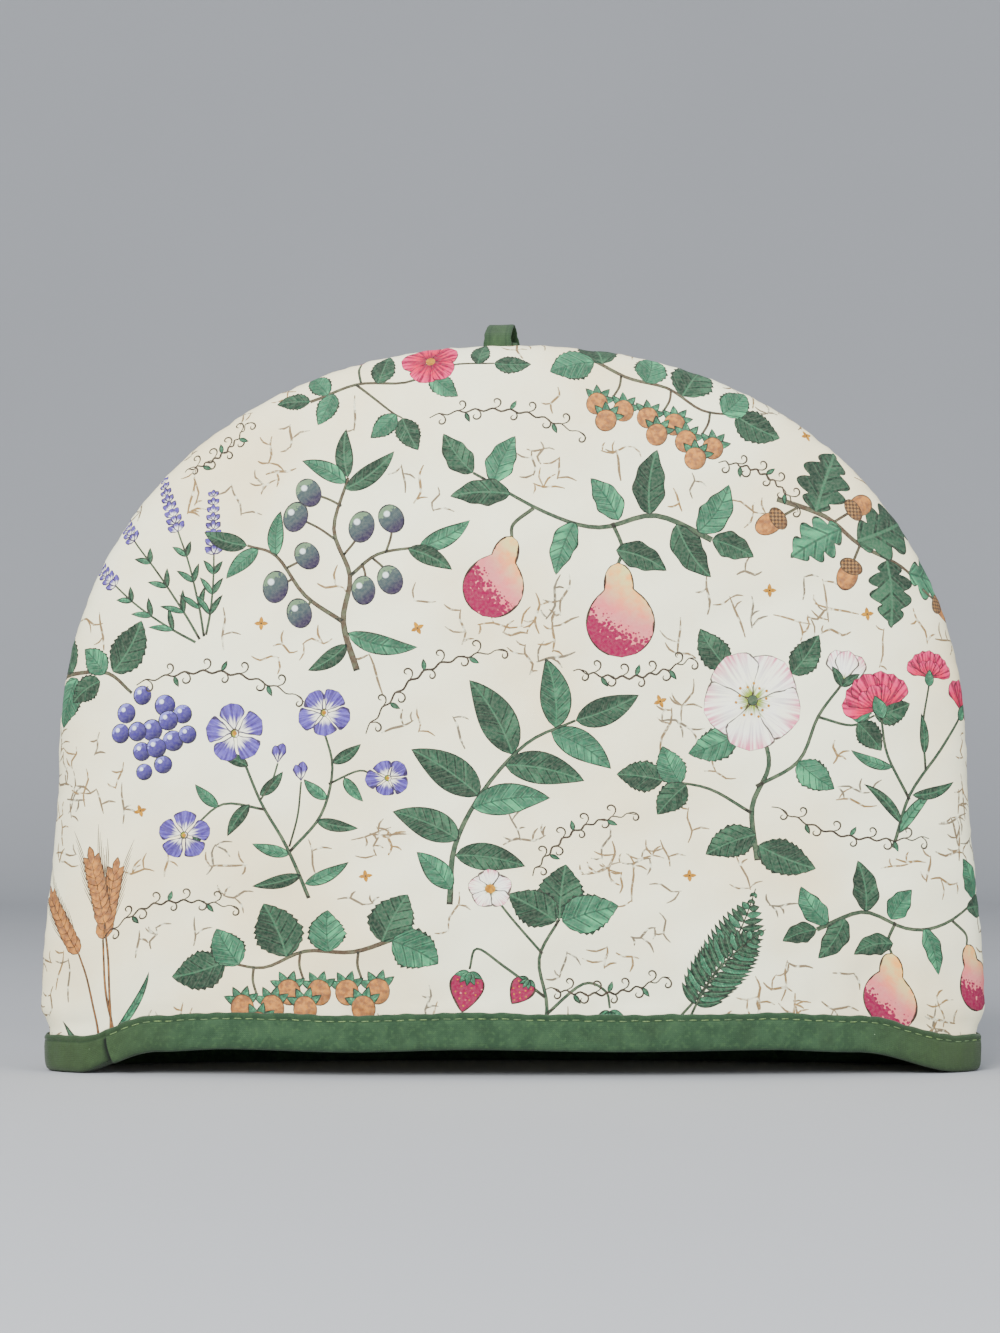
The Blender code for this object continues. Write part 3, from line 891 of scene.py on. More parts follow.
def hazel(s):
    stem(s, [(-36, 20), (-18, 16), (2, 18), (20, 12), (36, 16)], 1.8, 0.9, tone=0.85)
    leaves(s, [
        (-30, 19, 122, 24, 17, 15, 0.25), (-34, 19, 216, 22, 16, 20, 0.75),
        (10, 16, 74, 26, 18, -15, 0.25), (36, 16, -8, 23, 15, 20, 0.30),
        (30, 14, 66, 19, 13, 15, 0.75), (-8, 17, 94, 19, 14, 20, 0.75),
    ], margin="toothed", veins=5)
    for x, y in ((-20, 16), (4, 18), (24, 13)):
        stem(s, [(x, y), (x + 1, y - 6), (x, y - 12)], 1.0, 0.9, tone=0.85)
        for side, drop in ((-6.0, -17.0), (6.5, -16.0), (0.5, -23.5)):
            middle = (x + side, y + drop)
            for lean in (150, 112, 68, 30):
                leaf(s, *middle, lean, 8.6, 3.6, 0, 0.75)
            disc(s, "tan", (middle[0], middle[1] - 1.2), 5.0, 5.6, tone=0.3, points=20)


def strawberries(s):
    stem(s, [(0, -38), (-2, -18), (2, 0), (-4, 16)], 1.2, 0.9, tone=0.2)
    stem(s, [(-1, -14), (14, -4), (24, 2), (26, -6)], 1.0, 0.7, tone=0.2)
    stem(s, [(-2, -20), (-14, -8), (-22, -10), (-24, -16)], 1.0, 0.7, tone=0.2)
    stem(s, [(1, 2), (12, 14), (20, 24)], 0.9, 0.7, tone=0.2)
    leaves(s, [
        (-4, 16, 92, 22, 15, 10, 0.25), (-5, 15, 158, 21, 14, 10, 0.75),
        (-3, 15, 28, 20, 13, -10, 0.30), (-2, -34, 200, 17, 11, 10, 0.75),
        (-1, -32, 250, 15, 10, 10, 0.25), (1, -33, -22, 19, 12, 10, 0.25),
    ], margin="toothed", veins=5)
    for x, y, heading, length in ((26, -7, 276, 15), (-24, -17, 262, 14), (5, -8, 300, 11)):
        axis = bowed_axis((x, y), heading, length, 0, 14)
        share = np.linspace(0.0, 1.0, 15)
        brush(s, "fruit", axis, length * 0.42 * np.sin(np.pi * share**0.62) ** 0.8,
              tone=0.95, detail=length)
        for row in range(1, 6):
            for side in range(-(row % 2) - 1, 3, 2):
                if abs(side) < 2 or row < 4:
                    down = way_of(heading) * (0.08 + 0.15 * row) * length
                    over = way_of(heading + 90) * side * 0.12 * length
                    disc(s, "ochre", (x, y) + down + over, 0.34, points=5)
        for lean in (-70, 70, -30, 32, 0):
            leaf(s, x, y, heading + lean, length * 0.36, length * 0.15, tone=0.7)
    blossom(s, 21, 26, 8, "white", 5, 10, 0.1, 1.0)
    disc(s, "ochre", (21, 26), 1.9, points=12)


# %% Wheat, fern and lavender
def wheat(s):
    for foot_x, lean, height, bend in ((-2, 108, 46, 16), (2, 88, 52, -10), (6, 66, 44, -22)):
        axis = bowed_axis((foot_x, -42), lean - bend, height, bend, 10)
        stem(s, axis[::2], 0.9, 0.7, ink="tan", tone=0.6)
        heading = lean + bend * 0.1
        way = way_of(heading)
        for i in range(8):
            foot = axis[-1] + way * 3.1 * i
            for side in (-1, 1):
                tip = foot + 5.5 * way_of(heading + side * 30)
                far = tip + 12.0 * way_of(heading + side * 13)
                pen(s, [tip, (tip + far) / 2 + way * 0.4, far], 0.34, 0.9, ink="tan", steps=2)
                petal(s, *foot, heading + side * 30, 6.8, 3.3, "tan", 0.25 + 0.1 * (i % 3),
                      fullness=1.0)
        petal(s, *(axis[-1] + way * 24.0), heading, 7.2, 3.2, "tan", 0.3, fullness=1.0)
    leaves(s, [(0, -34, 138, 26, 3.2, -50, 0.75), (3, -38, 44, 24, 3.0, 55, 0.30)])


def fern(s):
    for foot, heading, length, bend in (((-4, -34), 104, 66, 30), ((0, -34), 62, 52, -34)):
        axis = bowed_axis(foot, heading - bend / 2, length, bend, 20)
        stem(s, axis[::4], 1.0, 0.4, tone=0.2)
        for i in range(3, 20):
            way = axis[i] - axis[i - 1]
            along = math.degrees(math.atan2(way[1], way[0]))
            size = 13.0 * math.sin(math.pi * min(i / 20.0 + 0.10, 1.0)) ** 0.8 + 1.6
            for side in (-1, 1):
                leaf(s, *axis[i], along + side * 58, size, 2.9, -side * 18,
                     0.25 + 0.5 * ((i + side) % 3 == 0))


def lavender(s):
    for foot_x, heading, length, bend in ((-6, 112, 42, -16), (0, 92, 50, 10), (6, 72, 44, 14),
                                          (9, 52, 32, 16)):
        axis = bowed_axis((foot_x / 3.0, -40), heading, length, bend, 12)
        stem(s, axis[::3], 0.9, 0.6, tone=0.2)
        way = axis[-1] - axis[-2]
        along = math.degrees(math.atan2(way[1], way[0]))
        way = way / np.linalg.norm(way)
        for i in range(8):
            middle = axis[-1] + way * 3.4 * i
            for side in (-46, 46, 0):
                petal(s, *middle, along + side, 5.0 - 0.28 * i, 2.9 - 0.12 * i, "violet",
                      0.25 + 0.2 * (i % 3), fullness=1.2)
        for i in (3, 6, 9):
            leaf(s, *axis[i], along + 34, 12 - i * 0.5, 2.3, 15, 0.70)
            leaf(s, *axis[i], along - 36, 11 - i * 0.5, 2.3, -15, 0.25)


# %% Tendrils, twig marks and spots
def tendril(s, length=70.0, arch=10.0):
    """A fine brown line that waves along an arch, with small curls to either side."""
    count = 9
    share = np.linspace(0.0, 1.0, count * 2 + 1)
    line = np.stack([(share - 0.5) * length,
                     arch * np.sin(np.pi * share) + 1.2 * (np.arange(len(share)) % 2)], axis=1)
    pen(s, line, 0.85, 0.4, steps=3)
    for i in range(1, count * 2, 2):
        side = 1.0 if (i // 2) % 2 else -1.0
        lean = 0.5 + 0.2 * math.sin(i * 2.3)
        turns = np.linspace(0.0, 1.0, 8)
        radius = 2.6 * (1.0 - 0.72 * turns)
        angle = np.pi * 1.65 * turns * side
        curl = np.stack([np.sin(angle * side) * radius * 1.1 + lean * turns * 3.0,
                         side * (2.6 - np.cos(angle) * radius)], axis=1)
        pen(s, line[i] + curl, 0.70, 0.4, steps=2)
    for i in (4, 9, 14):
        leaf(s, *line[i], 65 if i % 2 else -60, 4.2, 1.7, 10, 0.5)


def twig_mark(strokes, x, z, luck):
    """A few fine broken lines, like cracks or bare twigs, under the motifs."""
    s = Sprig(strokes, x, z, turn=luck.choice((0.0, 90.0, 90.0)) + luck.uniform(-20, 20), seed=5)
    tone = luck.uniform(0.1, 0.9)
    length = luck.uniform(8.0, 17.0)
    bow = luck.uniform(-1.6, 1.6)
    line = np.array([(-length / 2, 0), (-length / 6, bow), (length / 5, -bow * 0.6),
                     (length / 2, 0.4)])
    pen(s, line, luck.uniform(0.75, 1.05), tone, "twig", steps=2)
    for _ in range(luck.integers(1, 4)):
        foot = line[luck.integers(0, 4)] * 0.9
        side = luck.choice((-1.0, 1.0))
        way = math.radians(side * luck.uniform(50, 120))
        reach = luck.uniform(3.0, 8.0)
        tip = foot + reach * np.array((math.cos(way), math.sin(way)))
        bend = foot + 0.55 * reach * np.array((math.cos(way + 0.25), math.sin(way + 0.25)))
        pen(s, [foot, bend, tip], luck.uniform(0.65, 0.90), tone, "twig", steps=2)


def spot(s):
    for heading in (0, 90, 180, 270):
        petal(s, 0, 0, heading, 2.5, 1.5, "ochre", 0.5, fullness=0.8)
    disc(s, "ochre", (0, 0), 1.0, points=8)
    disc(s, "pen", (0, 0), 0.35, points=6)


# %% [markdown]
# ## Setting out the print
# The two panels are cut from different parts of the cloth, so the motifs sit in different places
# on each, and some run off its edge. A coarse grid of the cloth remembers what is already
# covered, and the pale twig marks go only where there is room.

# %% Where each motif goes
MIRRORED = True

# columns: motif, x, z, turn, size, and for some mirrored
FRONT_LAYOUT = (
    (rosebuds, -42, 250, 14, 1.0), (hazel, 51, 236, -20, 0.8), (lavender, -133, 185, 34, 0.92),
    (sloe_spray, -64, 180, 10, 1.0), (pear_spray, 23, 182, -6, 1.1, MIRRORED),
    (oak_spray, 128, 193, -52, 0.88), (bilberries, -144, 130, 14, 0.94),
    (periwinkles, -86, 98, 6, 0.96), (laurel_branch, -5, 101, 14, 0.94, MIRRORED),
    (dog_rose, 83, 118, -4, 1.04), (carnations, 152, 117, -4, 0.95, MIRRORED),
    (wheat, -150, 42, 10, 0.95, MIRRORED), (hazel, -70, 21, 6, 0.86, MIRRORED),
    (strawberries, 11, 33, -4, 1.0, MIRRORED), (fern, 75, 36, -28, 0.85),
    (pear_spray, 147, 38, 6, 0.9),
)
BACK_LAYOUT = (
    (wheat, -60, 226, 26, 0.92), (bilberries, 55, 225, 10, 1.0, MIRRORED),
    (laurel_branch, -121, 199, -10, 0.95, MIRRORED), (dog_rose, -17, 184, -12, 1.04),
    (carnations, 116, 200, 14, 1.02, MIRRORED), (fern, 149, 163, -30, 0.92),
    (pear_spray, -133, 117, 4, 1.04), (lavender, -58, 128, 10, 0.95, MIRRORED),
    (sloe_spray, 20, 111, -8, 1.0, MIRRORED), (strawberries, 96, 115, -6, 1.0, MIRRORED),
    (oak_spray, 152, 100, 70, 0.9, MIRRORED), (periwinkles, 51, 39, -6, 0.94),
    (rosebuds, 144, 37, 20, 1.0), (oak_spray, -29, 37, 10, 0.88),
    (wheat, -82, 42, 6, 0.88, MIRRORED), (periwinkles, -141, 47, 12, 0.92, MIRRORED),
)

# columns: x, z, turn, length, arch
FRONT_TENDRILS = (
    (-2, 232, -8, 58, 6), (89, 210, -32, 34, 5), (-110, 227, 40, 30, -5), (-105, 135, -6, 62, 7),
    (43, 145, 6, 44, -5), (-27, 135, 30, 58, 8), (121, 88, -10, 60, -7), (25, 78, 34, 44, 6),
    (-122, 49, 6, 50, 6), (33, 24, 6, 44, -4),
)
BACK_TENDRILS = (
    (-5, 253, -12, 58, 8), (-23, 235, 30, 50, 6), (57, 166, 10, 66, 8), (-95, 175, -12, 60, -8),
    (77, 153, 22, 50, 7), (-86, 80, 8, 62, 7), (-32, 69, -14, 60, 7), (58, 89, 12, 56, -6),
)

# columns: x, z
FRONT_SPOTS = ((-90, 160), (-34, 158), (92, 172), (128, 164), (-134, 92), (52, 132), (62, 66),
               (-52, 66), (110, 232))
BACK_SPOTS = ((-96, 160), (4, 236), (0, 152), (60, 140), (-112, 58), (20, 66))


# %% Laying the print down
COVER_CELL = 0.002
COVER_HALF_WIDTH = 0.19
COVER_TOP = 0.30
TWIG_STEP = 0.0086


def cells_of(points):
    column = ((points[:, 0] + COVER_HALF_WIDTH) / COVER_CELL).astype(int)
    row = (points[:, 1] / COVER_CELL).astype(int)
    kept = (column >= 0) & (row >= 0)
    kept &= (column < 2 * COVER_HALF_WIDTH / COVER_CELL) & (row < COVER_TOP / COVER_CELL)
    return row[kept], column[kept]


def on_the_piece(place):
    """Whether a point of the cloth is inside the cut outline: count the edges it looks across."""
    start, end = OUTLINE, np.roll(OUTLINE, -1, axis=0)
    spans = (start[:, 1] > place[1]) != (end[:, 1] > place[1])
    share = (place[1] - start[spans, 1]) / (end[spans, 1] - start[spans, 1])
    return (start[spans, 0] + share * (end[spans, 0] - start[spans, 0]) > place[0]).sum() % 2 == 1


def lay_print(layout, tendrils, spots, seed):
    """All the strokes of a panel, the lowest first."""
    strokes = []
    for number, (motif, *where) in enumerate(layout):
        motif(Sprig(strokes, *where, seed=seed + number))
    for x, z, turn, length, arch in tendrils:
        tendril(Sprig(strokes, x, z, turn, seed=seed), length, arch)
    for x, z in spots:
        spot(Sprig(strokes, x, z, turn=x % 30, seed=seed))
    size = (round(COVER_TOP / COVER_CELL), round(2 * COVER_HALF_WIDTH / COVER_CELL))
    covered = np.zeros(size, bool)
    for stroke in strokes:
        covered[cells_of(np.vstack([stroke.ring, stroke.core]))] = True
    luck = np.random.default_rng(seed)
    marks = []
    for x in np.arange(-0.186, 0.187, TWIG_STEP):
        for z in np.arange(0.008, 0.275, TWIG_STEP):
            place = np.array((x, z)) + luck.uniform(-0.5, 0.5, 2) * TWIG_STEP
            around = place + luck.uniform(-1.0, 1.0, (40, 2)) * 0.0054
            wanted = luck.uniform() < 0.85 and on_the_piece(place)
            if wanted and covered[cells_of(around)].mean() < 0.09:
                twig_mark(marks, *(place / MM), luck)
    return marks + strokes


PRINTS = {
    "front": lay_print(FRONT_LAYOUT, FRONT_TENDRILS, FRONT_SPOTS, seed=21),
    "back": lay_print(BACK_LAYOUT, BACK_TENDRILS, BACK_SPOTS, seed=55),
}
for panel, strokes in PRINTS.items():
    print(panel, "print:", len(strokes), "strokes,",
          sum(len(stroke.ring) + len(stroke.core) for stroke in strokes), "points")

# %% [markdown]
# ## Cutting the print into the cloth
# Blender's constrained triangulation takes outlines and loose points and returns triangles that
# cross none of the outlines. All strokes go in at once, with the panel's own outline and a grid
# of loose points that lets the cloth curve. For each triangle it also lists the outlines that
# hold it, and the last one laid down is the ink that shows. Outlines have to run anticlockwise.

# %% The points that let the cloth curve
CLOTH_STEP = 0.0027
SEAM_ROWS = (0.0009, 0.0019, 0.0031)
CLEAR_OF_ROWS = 0.0043


def cloth_grid():
    """Loose points: rows that follow the seam, and a staggered grid over the rest."""
    rows = []
    on_seam = OUTLINE[OUTLINE[:, 1] > HEM_EDGE_Z + 0.002]
    spine_z = ray_through(*on_seam.T, inside=False)[2]
    inward = unit(np.stack([on_seam[:, 0], on_seam[:, 1] - spine_z], axis=1))
    for row in SEAM_ROWS:
        rows.append(on_seam - inward * row)
    width, height = OUTLINE[:, 0].max(), OUTLINE[:, 1].max()
    x, z = np.meshgrid(np.arange(-width, width, CLOTH_STEP),
                       np.arange(HEM_EDGE_Z + 0.0015, height, CLOTH_STEP))
    x = x + (np.arange(len(x)) % 2)[:, None] * CLOTH_STEP / 2
    x, z = x.ravel(), z.ravel()
    seam_x, seam_z, spine_z, _ = ray_through(x, z, inside=False)
    edge = profile_lengths(seam_x, seam_z, spine_z)[:, -1] - np.hypot(x, z - spine_z)
    rows.append(np.stack([x, z], axis=1)[edge > CLEAR_OF_ROWS])
    return np.vstack(rows)


CLOTH_GRID = cloth_grid()
print("cloth grid:", len(CLOTH_GRID), "points")

# %% Cutting
INKS = ("ground", "twig", "pen", "stem", "leaf", "fruit", "berry", "white", "violet", "pink",
        "tan", "ochre")
NOTHING = 1e-7


def cut_print(strokes):
    """Flat points, triangles, and for each triangle the number of its stroke, or 0 for none."""
    points, outlines, edges, starts = [OUTLINE], [list(range(len(OUTLINE)))], [], []
    count = len(OUTLINE)
    for stroke in strokes:
        starts.append(count)
        outlines.append(list(range(count, count + len(stroke.ring))))
        count += len(stroke.ring)
        edges.extend((count + a, count + b) for a, b in stroke.core_edges)
        count += len(stroke.core)
        points.extend([stroke.ring, stroke.core])
    points.append(CLOTH_GRID)
    found = delaunay_2d_cdt([Vector(point) for point in np.vstack(points)], edges, outlines, 1,
                            NOTHING)
    kept = [i for i, holders in enumerate(found[5]) if 0 in holders]
    owner = np.array([max(found[5][i]) for i in kept])
    used, triangles = np.unique([found[2][i] for i in kept], return_inverse=True)
    triangles = triangles.reshape(-1, 3)
    flat = np.array([tuple(found[0][i]) for i in used])
    came_from = {original: new for new, old in enumerate(used) for original in found[3][old]}
    return flat, triangles, owner, starts, came_from


def ink_of_corners(strokes, flat, triangles, owner, starts, came_from):
    """Along, across and margin for each corner of each triangle, from the stroke that owns it."""
    ink = np.zeros((len(triangles), 3, 3))
    order = np.argsort(owner, kind="stable")
    first = np.searchsorted(owner[order], np.arange(1, len(strokes) + 2))
    for number, stroke in enumerate(strokes):
        mine = order[first[number]:first[number + 1]]
        if len(mine) == 0:
            continue
        corners, where = np.unique(triangles[mine], return_inverse=True)
        values = stroke.ink_at(flat[corners])
        known = np.vstack([stroke.ring_ink, stroke.core_ink])
        place = {vertex: i for i, vertex in enumerate(corners)}
        for i, value in enumerate(known):
            slot = place.get(came_from.get(starts[number] + i))
            if slot is not None:
                values[slot] = value
        ink[mine] = values[where.reshape(-1)].reshape(len(mine), 3, 3)
    return ink


def ordered_border(triangles):
    """The border points of a sheet of triangles, in order, with the sheet on their left."""
    steps = np.vstack([triangles[:, [0, 1]], triangles[:, [1, 2]], triangles[:, [2, 0]]])
    inner = set(map(tuple, steps[:, ::-1]))
    following = {a: b for a, b in map(tuple, steps) if (a, b) not in inner}
    start = min(following)
    border = [start]
    while following[border[-1]] != start:
        border.append(following[border[-1]])
    return np.array(border)


# %% The inner face of a panel
INNER_STEP = 0.0062
INNER_ROWS = np.cos(np.radians((5.0, 10.0, 16.0, 23.0)))


def inner_border(flat, border):
    """For each point of the outer border, the point of the inner face's outline beside it."""
    x, z = flat[border].T
    seam_x, seam_z, spine_z, turn = ray_through(x, z, inside=False)
    lengths = profile_lengths(seam_x, seam_z, spine_z)
    angle = np.maximum(angle_along(lengths, np.hypot(x, z - spine_z)), 0.0)
    angle[angle < 0.002] = 0.0
    inset = pad_at(seam_z)
    arch_x, arch_z, _ = arch_ray(turn, inset)
    straight = z <= SPRING_Z
    inner_x = np.where(straight, side_half_width(z) - inset, arch_x)
    inner_z = np.where(straight, z, arch_z)
    reach = np.cos(angle)
    side = np.where(x < 0.0, -1.0, 1.0)
    return np.stack([side * inner_x * reach, mix(spine_z, inner_z, reach)], axis=1)


def cut_inner(ring):
    width, height = ring[:, 0].max(), ring[:, 1].max()
    x, z = np.meshgrid(np.arange(-width, width, INNER_STEP),
                       np.arange(HEM_EDGE_Z + INNER_STEP / 2, height, INNER_STEP))
    x, z = x.ravel(), z.ravel()
    seam_x, seam_z, spine_z, _ = ray_through(x, z, inside=True)
    reach = np.hypot(x, z - spine_z) / np.hypot(seam_x, seam_z - spine_z)
    points = [ring, np.stack([x, z], axis=1)[reach < INNER_ROWS[-1] - 0.015]]
    # Rows close to the seam, where the inner face turns sharply
    on_seam = ring[ring[:, 1] > HEM_EDGE_Z + 0.0005]
    spine_z = ray_through(*on_seam.T, inside=True)[2]
    for row in INNER_ROWS:
        points.append(np.stack([on_seam[:, 0] * row, mix(spine_z, on_seam[:, 1], row)], axis=1))
    points = np.vstack(points)
    found = delaunay_2d_cdt([Vector(point) for point in points], [], [list(range(len(ring)))], 1,
                            NOTHING)
    flat = np.array([tuple(point) for point in found[0]])
    came_from = {original: made for made, many in enumerate(found[3]) for original in many}
    return flat, np.array(found[2]), np.array([came_from[i] for i in range(len(ring))])


# %% [markdown]
# ## One closed, padded piece
# A panel has an outside with the print, an inner face of plain cotton, and a narrow wall between
# them at the seam and the hem, so it is closed like the real padded one. A mesh cut along
# hundreds of strokes has thin triangles, which shade badly if their normals are averaged, so
# each point gets the true normal of the form as a custom normal. The UV map lays the three faces
# side by side, with most of the room for the printed one.

# %% Helpers for finished pieces
def set_attribute(mesh, name, values, kind="FLOAT_VECTOR", domain="POINT"):
    field = "vector" if kind == "FLOAT_VECTOR" else "value"
    mesh.attributes.new(name, kind, domain).data.foreach_set(field, np.ravel(values))


def make_object(mesh):
    piece = add_object(mesh.name, mesh)
    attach(piece, "root")
    return piece


# %% Building the panels
BAKE_SPAN = 0.366
BAKE_EDGE = 0.006
INNER_BAKE_SCALE, INNER_BAKE_PLACE = 0.68, (0.02, 0.80)
WALL_BAKE_X, WALL_BAKE_Y = (0.30, 0.98), (0.84, 0.86)


def bake_corners(outer_flat, triangles, inner_flat, inner_triangles, wall_count):
    """The UV corners of the outside, the inner face and the wall, in the order of the faces."""
    outer = outer_flat / BAKE_SPAN + (0.5, BAKE_EDGE)
    inner = (inner_flat + (ARCH_HALF_WIDTH, 0.0)) * INNER_BAKE_SCALE + INNER_BAKE_PLACE
    run = np.linspace(*WALL_BAKE_X, wall_count + 1)
    low, high = (np.full(wall_count, y) for y in WALL_BAKE_Y)
    wall = np.stack([run[1:], low, run[:-1], low, run[:-1], high, run[1:], high], axis=1)
    return np.concatenate([outer[triangles].ravel(), inner[inner_triangles].ravel(), wall.ravel()])


def make_panel(panel, strokes):
    flat, triangles, owner, starts, came_from = cut_print(strokes)
    ink = ink_of_corners(strokes, flat, triangles, owner, starts, came_from)
    border = ordered_border(triangles)
    inner_flat, inner_triangles, inner_ring = cut_inner(inner_border(flat, border))

    inner_triangles = inner_triangles[:, ::-1]
    places = np.vstack([outside_of_panel(panel, *flat.T)[0], inside_of_panel(panel, *inner_flat.T)])
    offset = len(flat)
    ring = inner_ring + offset
    wall = np.stack([np.roll(border, -1), border, ring, np.roll(ring, -1)], axis=1)
    faces = triangles.tolist() + (inner_triangles + offset).tolist() + wall.tolist()
    mesh = new_mesh("cosy_" + panel, places.tolist(), faces)

    # The inner face and the wall are plain ground, the first of the inks
    kinds = np.array([0] + [INKS.index(stroke.ink) for stroke in strokes])
    tone_of = np.array([0.5] + [stroke.tone for stroke in strokes])
    plain = (0, len(faces) - len(owner))
    mesh.polygons.foreach_set("material_index", np.pad(kinds[owner], plain).astype(np.int32))
    set_attribute(mesh, "tone", np.pad(tone_of[owner], plain), "FLOAT", "FACE")
    set_attribute(mesh, "ink", np.pad(ink.ravel(), (0, 3 * len(mesh.loops) - ink.size)),
                  domain="CORNER")
    on_cloth = np.zeros((len(places), 3))
    on_cloth[:, :2] = np.vstack([flat, inner_flat])
    on_cloth[offset:, 2] = 0.5
    set_attribute(mesh, "cloth", on_cloth)
    uv = bake_corners(flat, triangles, inner_flat, inner_triangles, len(wall))
    mesh.uv_layers.new(name="OFBake").data.foreach_set("uv", uv)

    mesh.validate()
    mesh.update()
    normals = np.array([tuple(vertex.normal) for vertex in mesh.vertices])
    normals[:offset] = outside_normals(panel, *flat.T)
    mesh.normals_split_custom_set_from_vertices(normals.tolist())
    piece = make_object(mesh)
    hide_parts("panel_" + panel)
    print(piece.name, "triangles:", sum(len(face.vertices) - 2 for face in mesh.polygons),
          "border points:", len(border))
    return piece


PANELS = [make_panel(panel, strokes) for panel, strokes in PRINTS.items()]

# %% [markdown]
# ## Cotton and ink
# The ink colours are flat printer's colours, so each is built from a few mixes: a body colour, a
# lighter or darker side, streaks or dots, and a thin dark margin. What the inks share is built
# once as node groups. Each colour is a paint's own colour, from 0 to 255, turned into the linear
# values that a shader works in. Under this light it shows paler than its numbers.

# %% Helpers for shader nodes
def paint(red, green, blue):
    """A linear colour from values that run from 0 to 255."""
    linear = []
    for value in (red, green, blue):
        share = value / 255.0
        linear.append(share / 12.92 if share <= 0.04045 else ((share + 0.055) / 1.055) ** 2.4)
    return (*linear, 1.0)


class Value:
    """The output of a shader node. A sum with it adds a Math node to the same tree."""

    def __init__(self, nodes, socket):
        self.nodes, self.socket = nodes, socket

    def __add__(self, other):
        return self.nodes.math("ADD", self, other)

    def __sub__(self, other):
        return self.nodes.math("SUBTRACT", self, other)

    def __rsub__(self, other):
        return self.nodes.math("SUBTRACT", other, self)

    def __mul__(self, other):
        return self.nodes.math("MULTIPLY", self, other)

    def __truediv__(self, other):
        return self.nodes.math("DIVIDE", self, other)

    def __pow__(self, power):
        return self.nodes.math("POWER", self, power)

    def __abs__(self):
        return self.nodes.math("ABSOLUTE", self)


class Nodes:
    """Adds nodes to a shader tree. An input may be a plain number or colour, or a Value."""

    def __init__(self, tree):
        self.tree = tree

    def feed(self, node, inputs):
        for name, value in inputs.items():
            if isinstance(value, Value):
                self.tree.links.new(value.socket, node.inputs[name])
            else:
                node.inputs[name].default_value = value

    def node(self, kind, inputs, **settings):
        made = self.tree.nodes.new("ShaderNode" + kind)
        for name, value in settings.items():
            setattr(made, name, value)
        self.feed(made, inputs)
        return made

    def add(self, kind, inputs, output=0, **settings):
        return Value(self, self.node(kind, inputs, **settings).outputs[output])

    def outputs_of(self, node):
        return {socket.name: Value(self, socket) for socket in node.outputs}

    def math(self, operation, *values):
        return self.add("Math", dict(enumerate(values)), operation=operation)

    def mix(self, share, first, second, blend="MIX"):
        """Colour: the first where share is 0, the second where it is 1."""
        return self.add("Mix", {0: share, 6: first, 7: second}, 2, data_type="RGBA",
                        blend_type=blend)

    def step(self, value, low, high):
        """0 below low, 1 above high and smooth between. With low above high it falls."""
        return self.add("MapRange", {0: value, 1: low, 2: high},
                        interpolation_type="SMOOTHSTEP")

    def noise(self, place, scale, detail=2.0):
        return self.add("TexNoise", {"Vector": place, "Scale": scale, "Detail": detail})

    def patches(self, place, scale, detail, low, high):
        """Noise that is 0 in some places and 1 in others."""
        return self.step(self.noise(place, scale, detail), low, high)

    def cells(self, place, scale):
        """How far each point is from the middle of its cell."""
        return self.add("TexVoronoi", {"Vector": place, "Scale": scale}, "Distance")

    def combine(self, x, y, z=0.0):
        return self.add("CombineXYZ", {0: x, 1: y, 2: z})

    def separate(self, vector):
        return self.outputs_of(self.node("SeparateXYZ", {0: vector})).values()

    def attribute(self, name, output):
        return self.add("Attribute", {}, output, attribute_name=name)

    def bump(self, height, strength, distance):
        return self.add("Bump", {"Height": height, "Strength": strength,
                                           "Distance": distance})

    def group(self, tree, inputs):
        return self.outputs_of(self.node("Group", inputs, node_tree=tree))


def new_group(name, inputs, recipe):
    """A node group. recipe(nodes, *given) returns what the group gives back, by name."""
    tree = bpy.data.node_groups.new(name, "ShaderNodeTree")
    for socket in inputs:
        kind = "NodeSocketVector" if socket == "Place" else "NodeSocketFloat"
        tree.interface.new_socket(socket, in_out="INPUT", socket_type=kind)
    n = Nodes(tree)
    given = n.outputs_of(tree.nodes.new("NodeGroupInput"))
    results = recipe(n, *(given[socket] for socket in inputs))
    for socket in results:
        tree.interface.new_socket(socket, in_out="OUTPUT", socket_type="NodeSocketFloat")
    n.feed(tree.nodes.new("NodeGroupOutput"), results)
    return tree


def make_material(name, recipe, *given):
    """A material. recipe(nodes, *given) returns the inputs of its Principled shader."""
    material = bpy.data.materials.new(name)
    material.use_nodes = True
    n = Nodes(material.node_tree)
    n.feed(material.node_tree.nodes["Principled BSDF"], recipe(n, *given))
    return material


# %% [markdown]
# ### The shared groups
# A plain weave passes over and under at each crossing. The product of two sine waves gives the
# over and under, and their sizes give the round of each thread. Real yarn is uneven, so a little
# noise bends it and makes slubs.

# %% The weave, the mottling and the margin line
def plain_weave(n, place, threads):
    x, y, _ = n.separate(place)
    bent = n.noise(place, 260.0, 1.0) * 2.2
    turns = threads * math.pi
    warp = n.math("SINE", x * turns + bent)
    weft = n.math("SINE", y * turns - bent)
    slubs = n.noise(n.combine(x * 0.16, y), 2400.0, 2.0)
    height = warp * weft * 0.30 + (abs(warp) + abs(weft)) * 0.22 + slubs * 0.5
    return {"Height": height, "Shade": n.step(height, 0.1, 0.9) * 0.10 + 0.90}


def washed_mottling(n, place):
    """Washed cotton: broad pale and dull patches, and fine specks."""
    return {"Patches": n.patches(place, 26.0, 4.0, 0.34, 0.68),
            "Specks": n.patches(place, 900.0, 2.0, 0.30, 0.72)}


def drawn_margin(n, margin, place, width):
    """A pen line along a stroke's margin, thicker and thinner as a hand draws it."""
    pressed = n.patches(place, 210.0, 2.0, 0.28, 0.66)
    return {"Line": n.step(margin / (width * (pressed + 0.35)), 1.15, 0.75)}


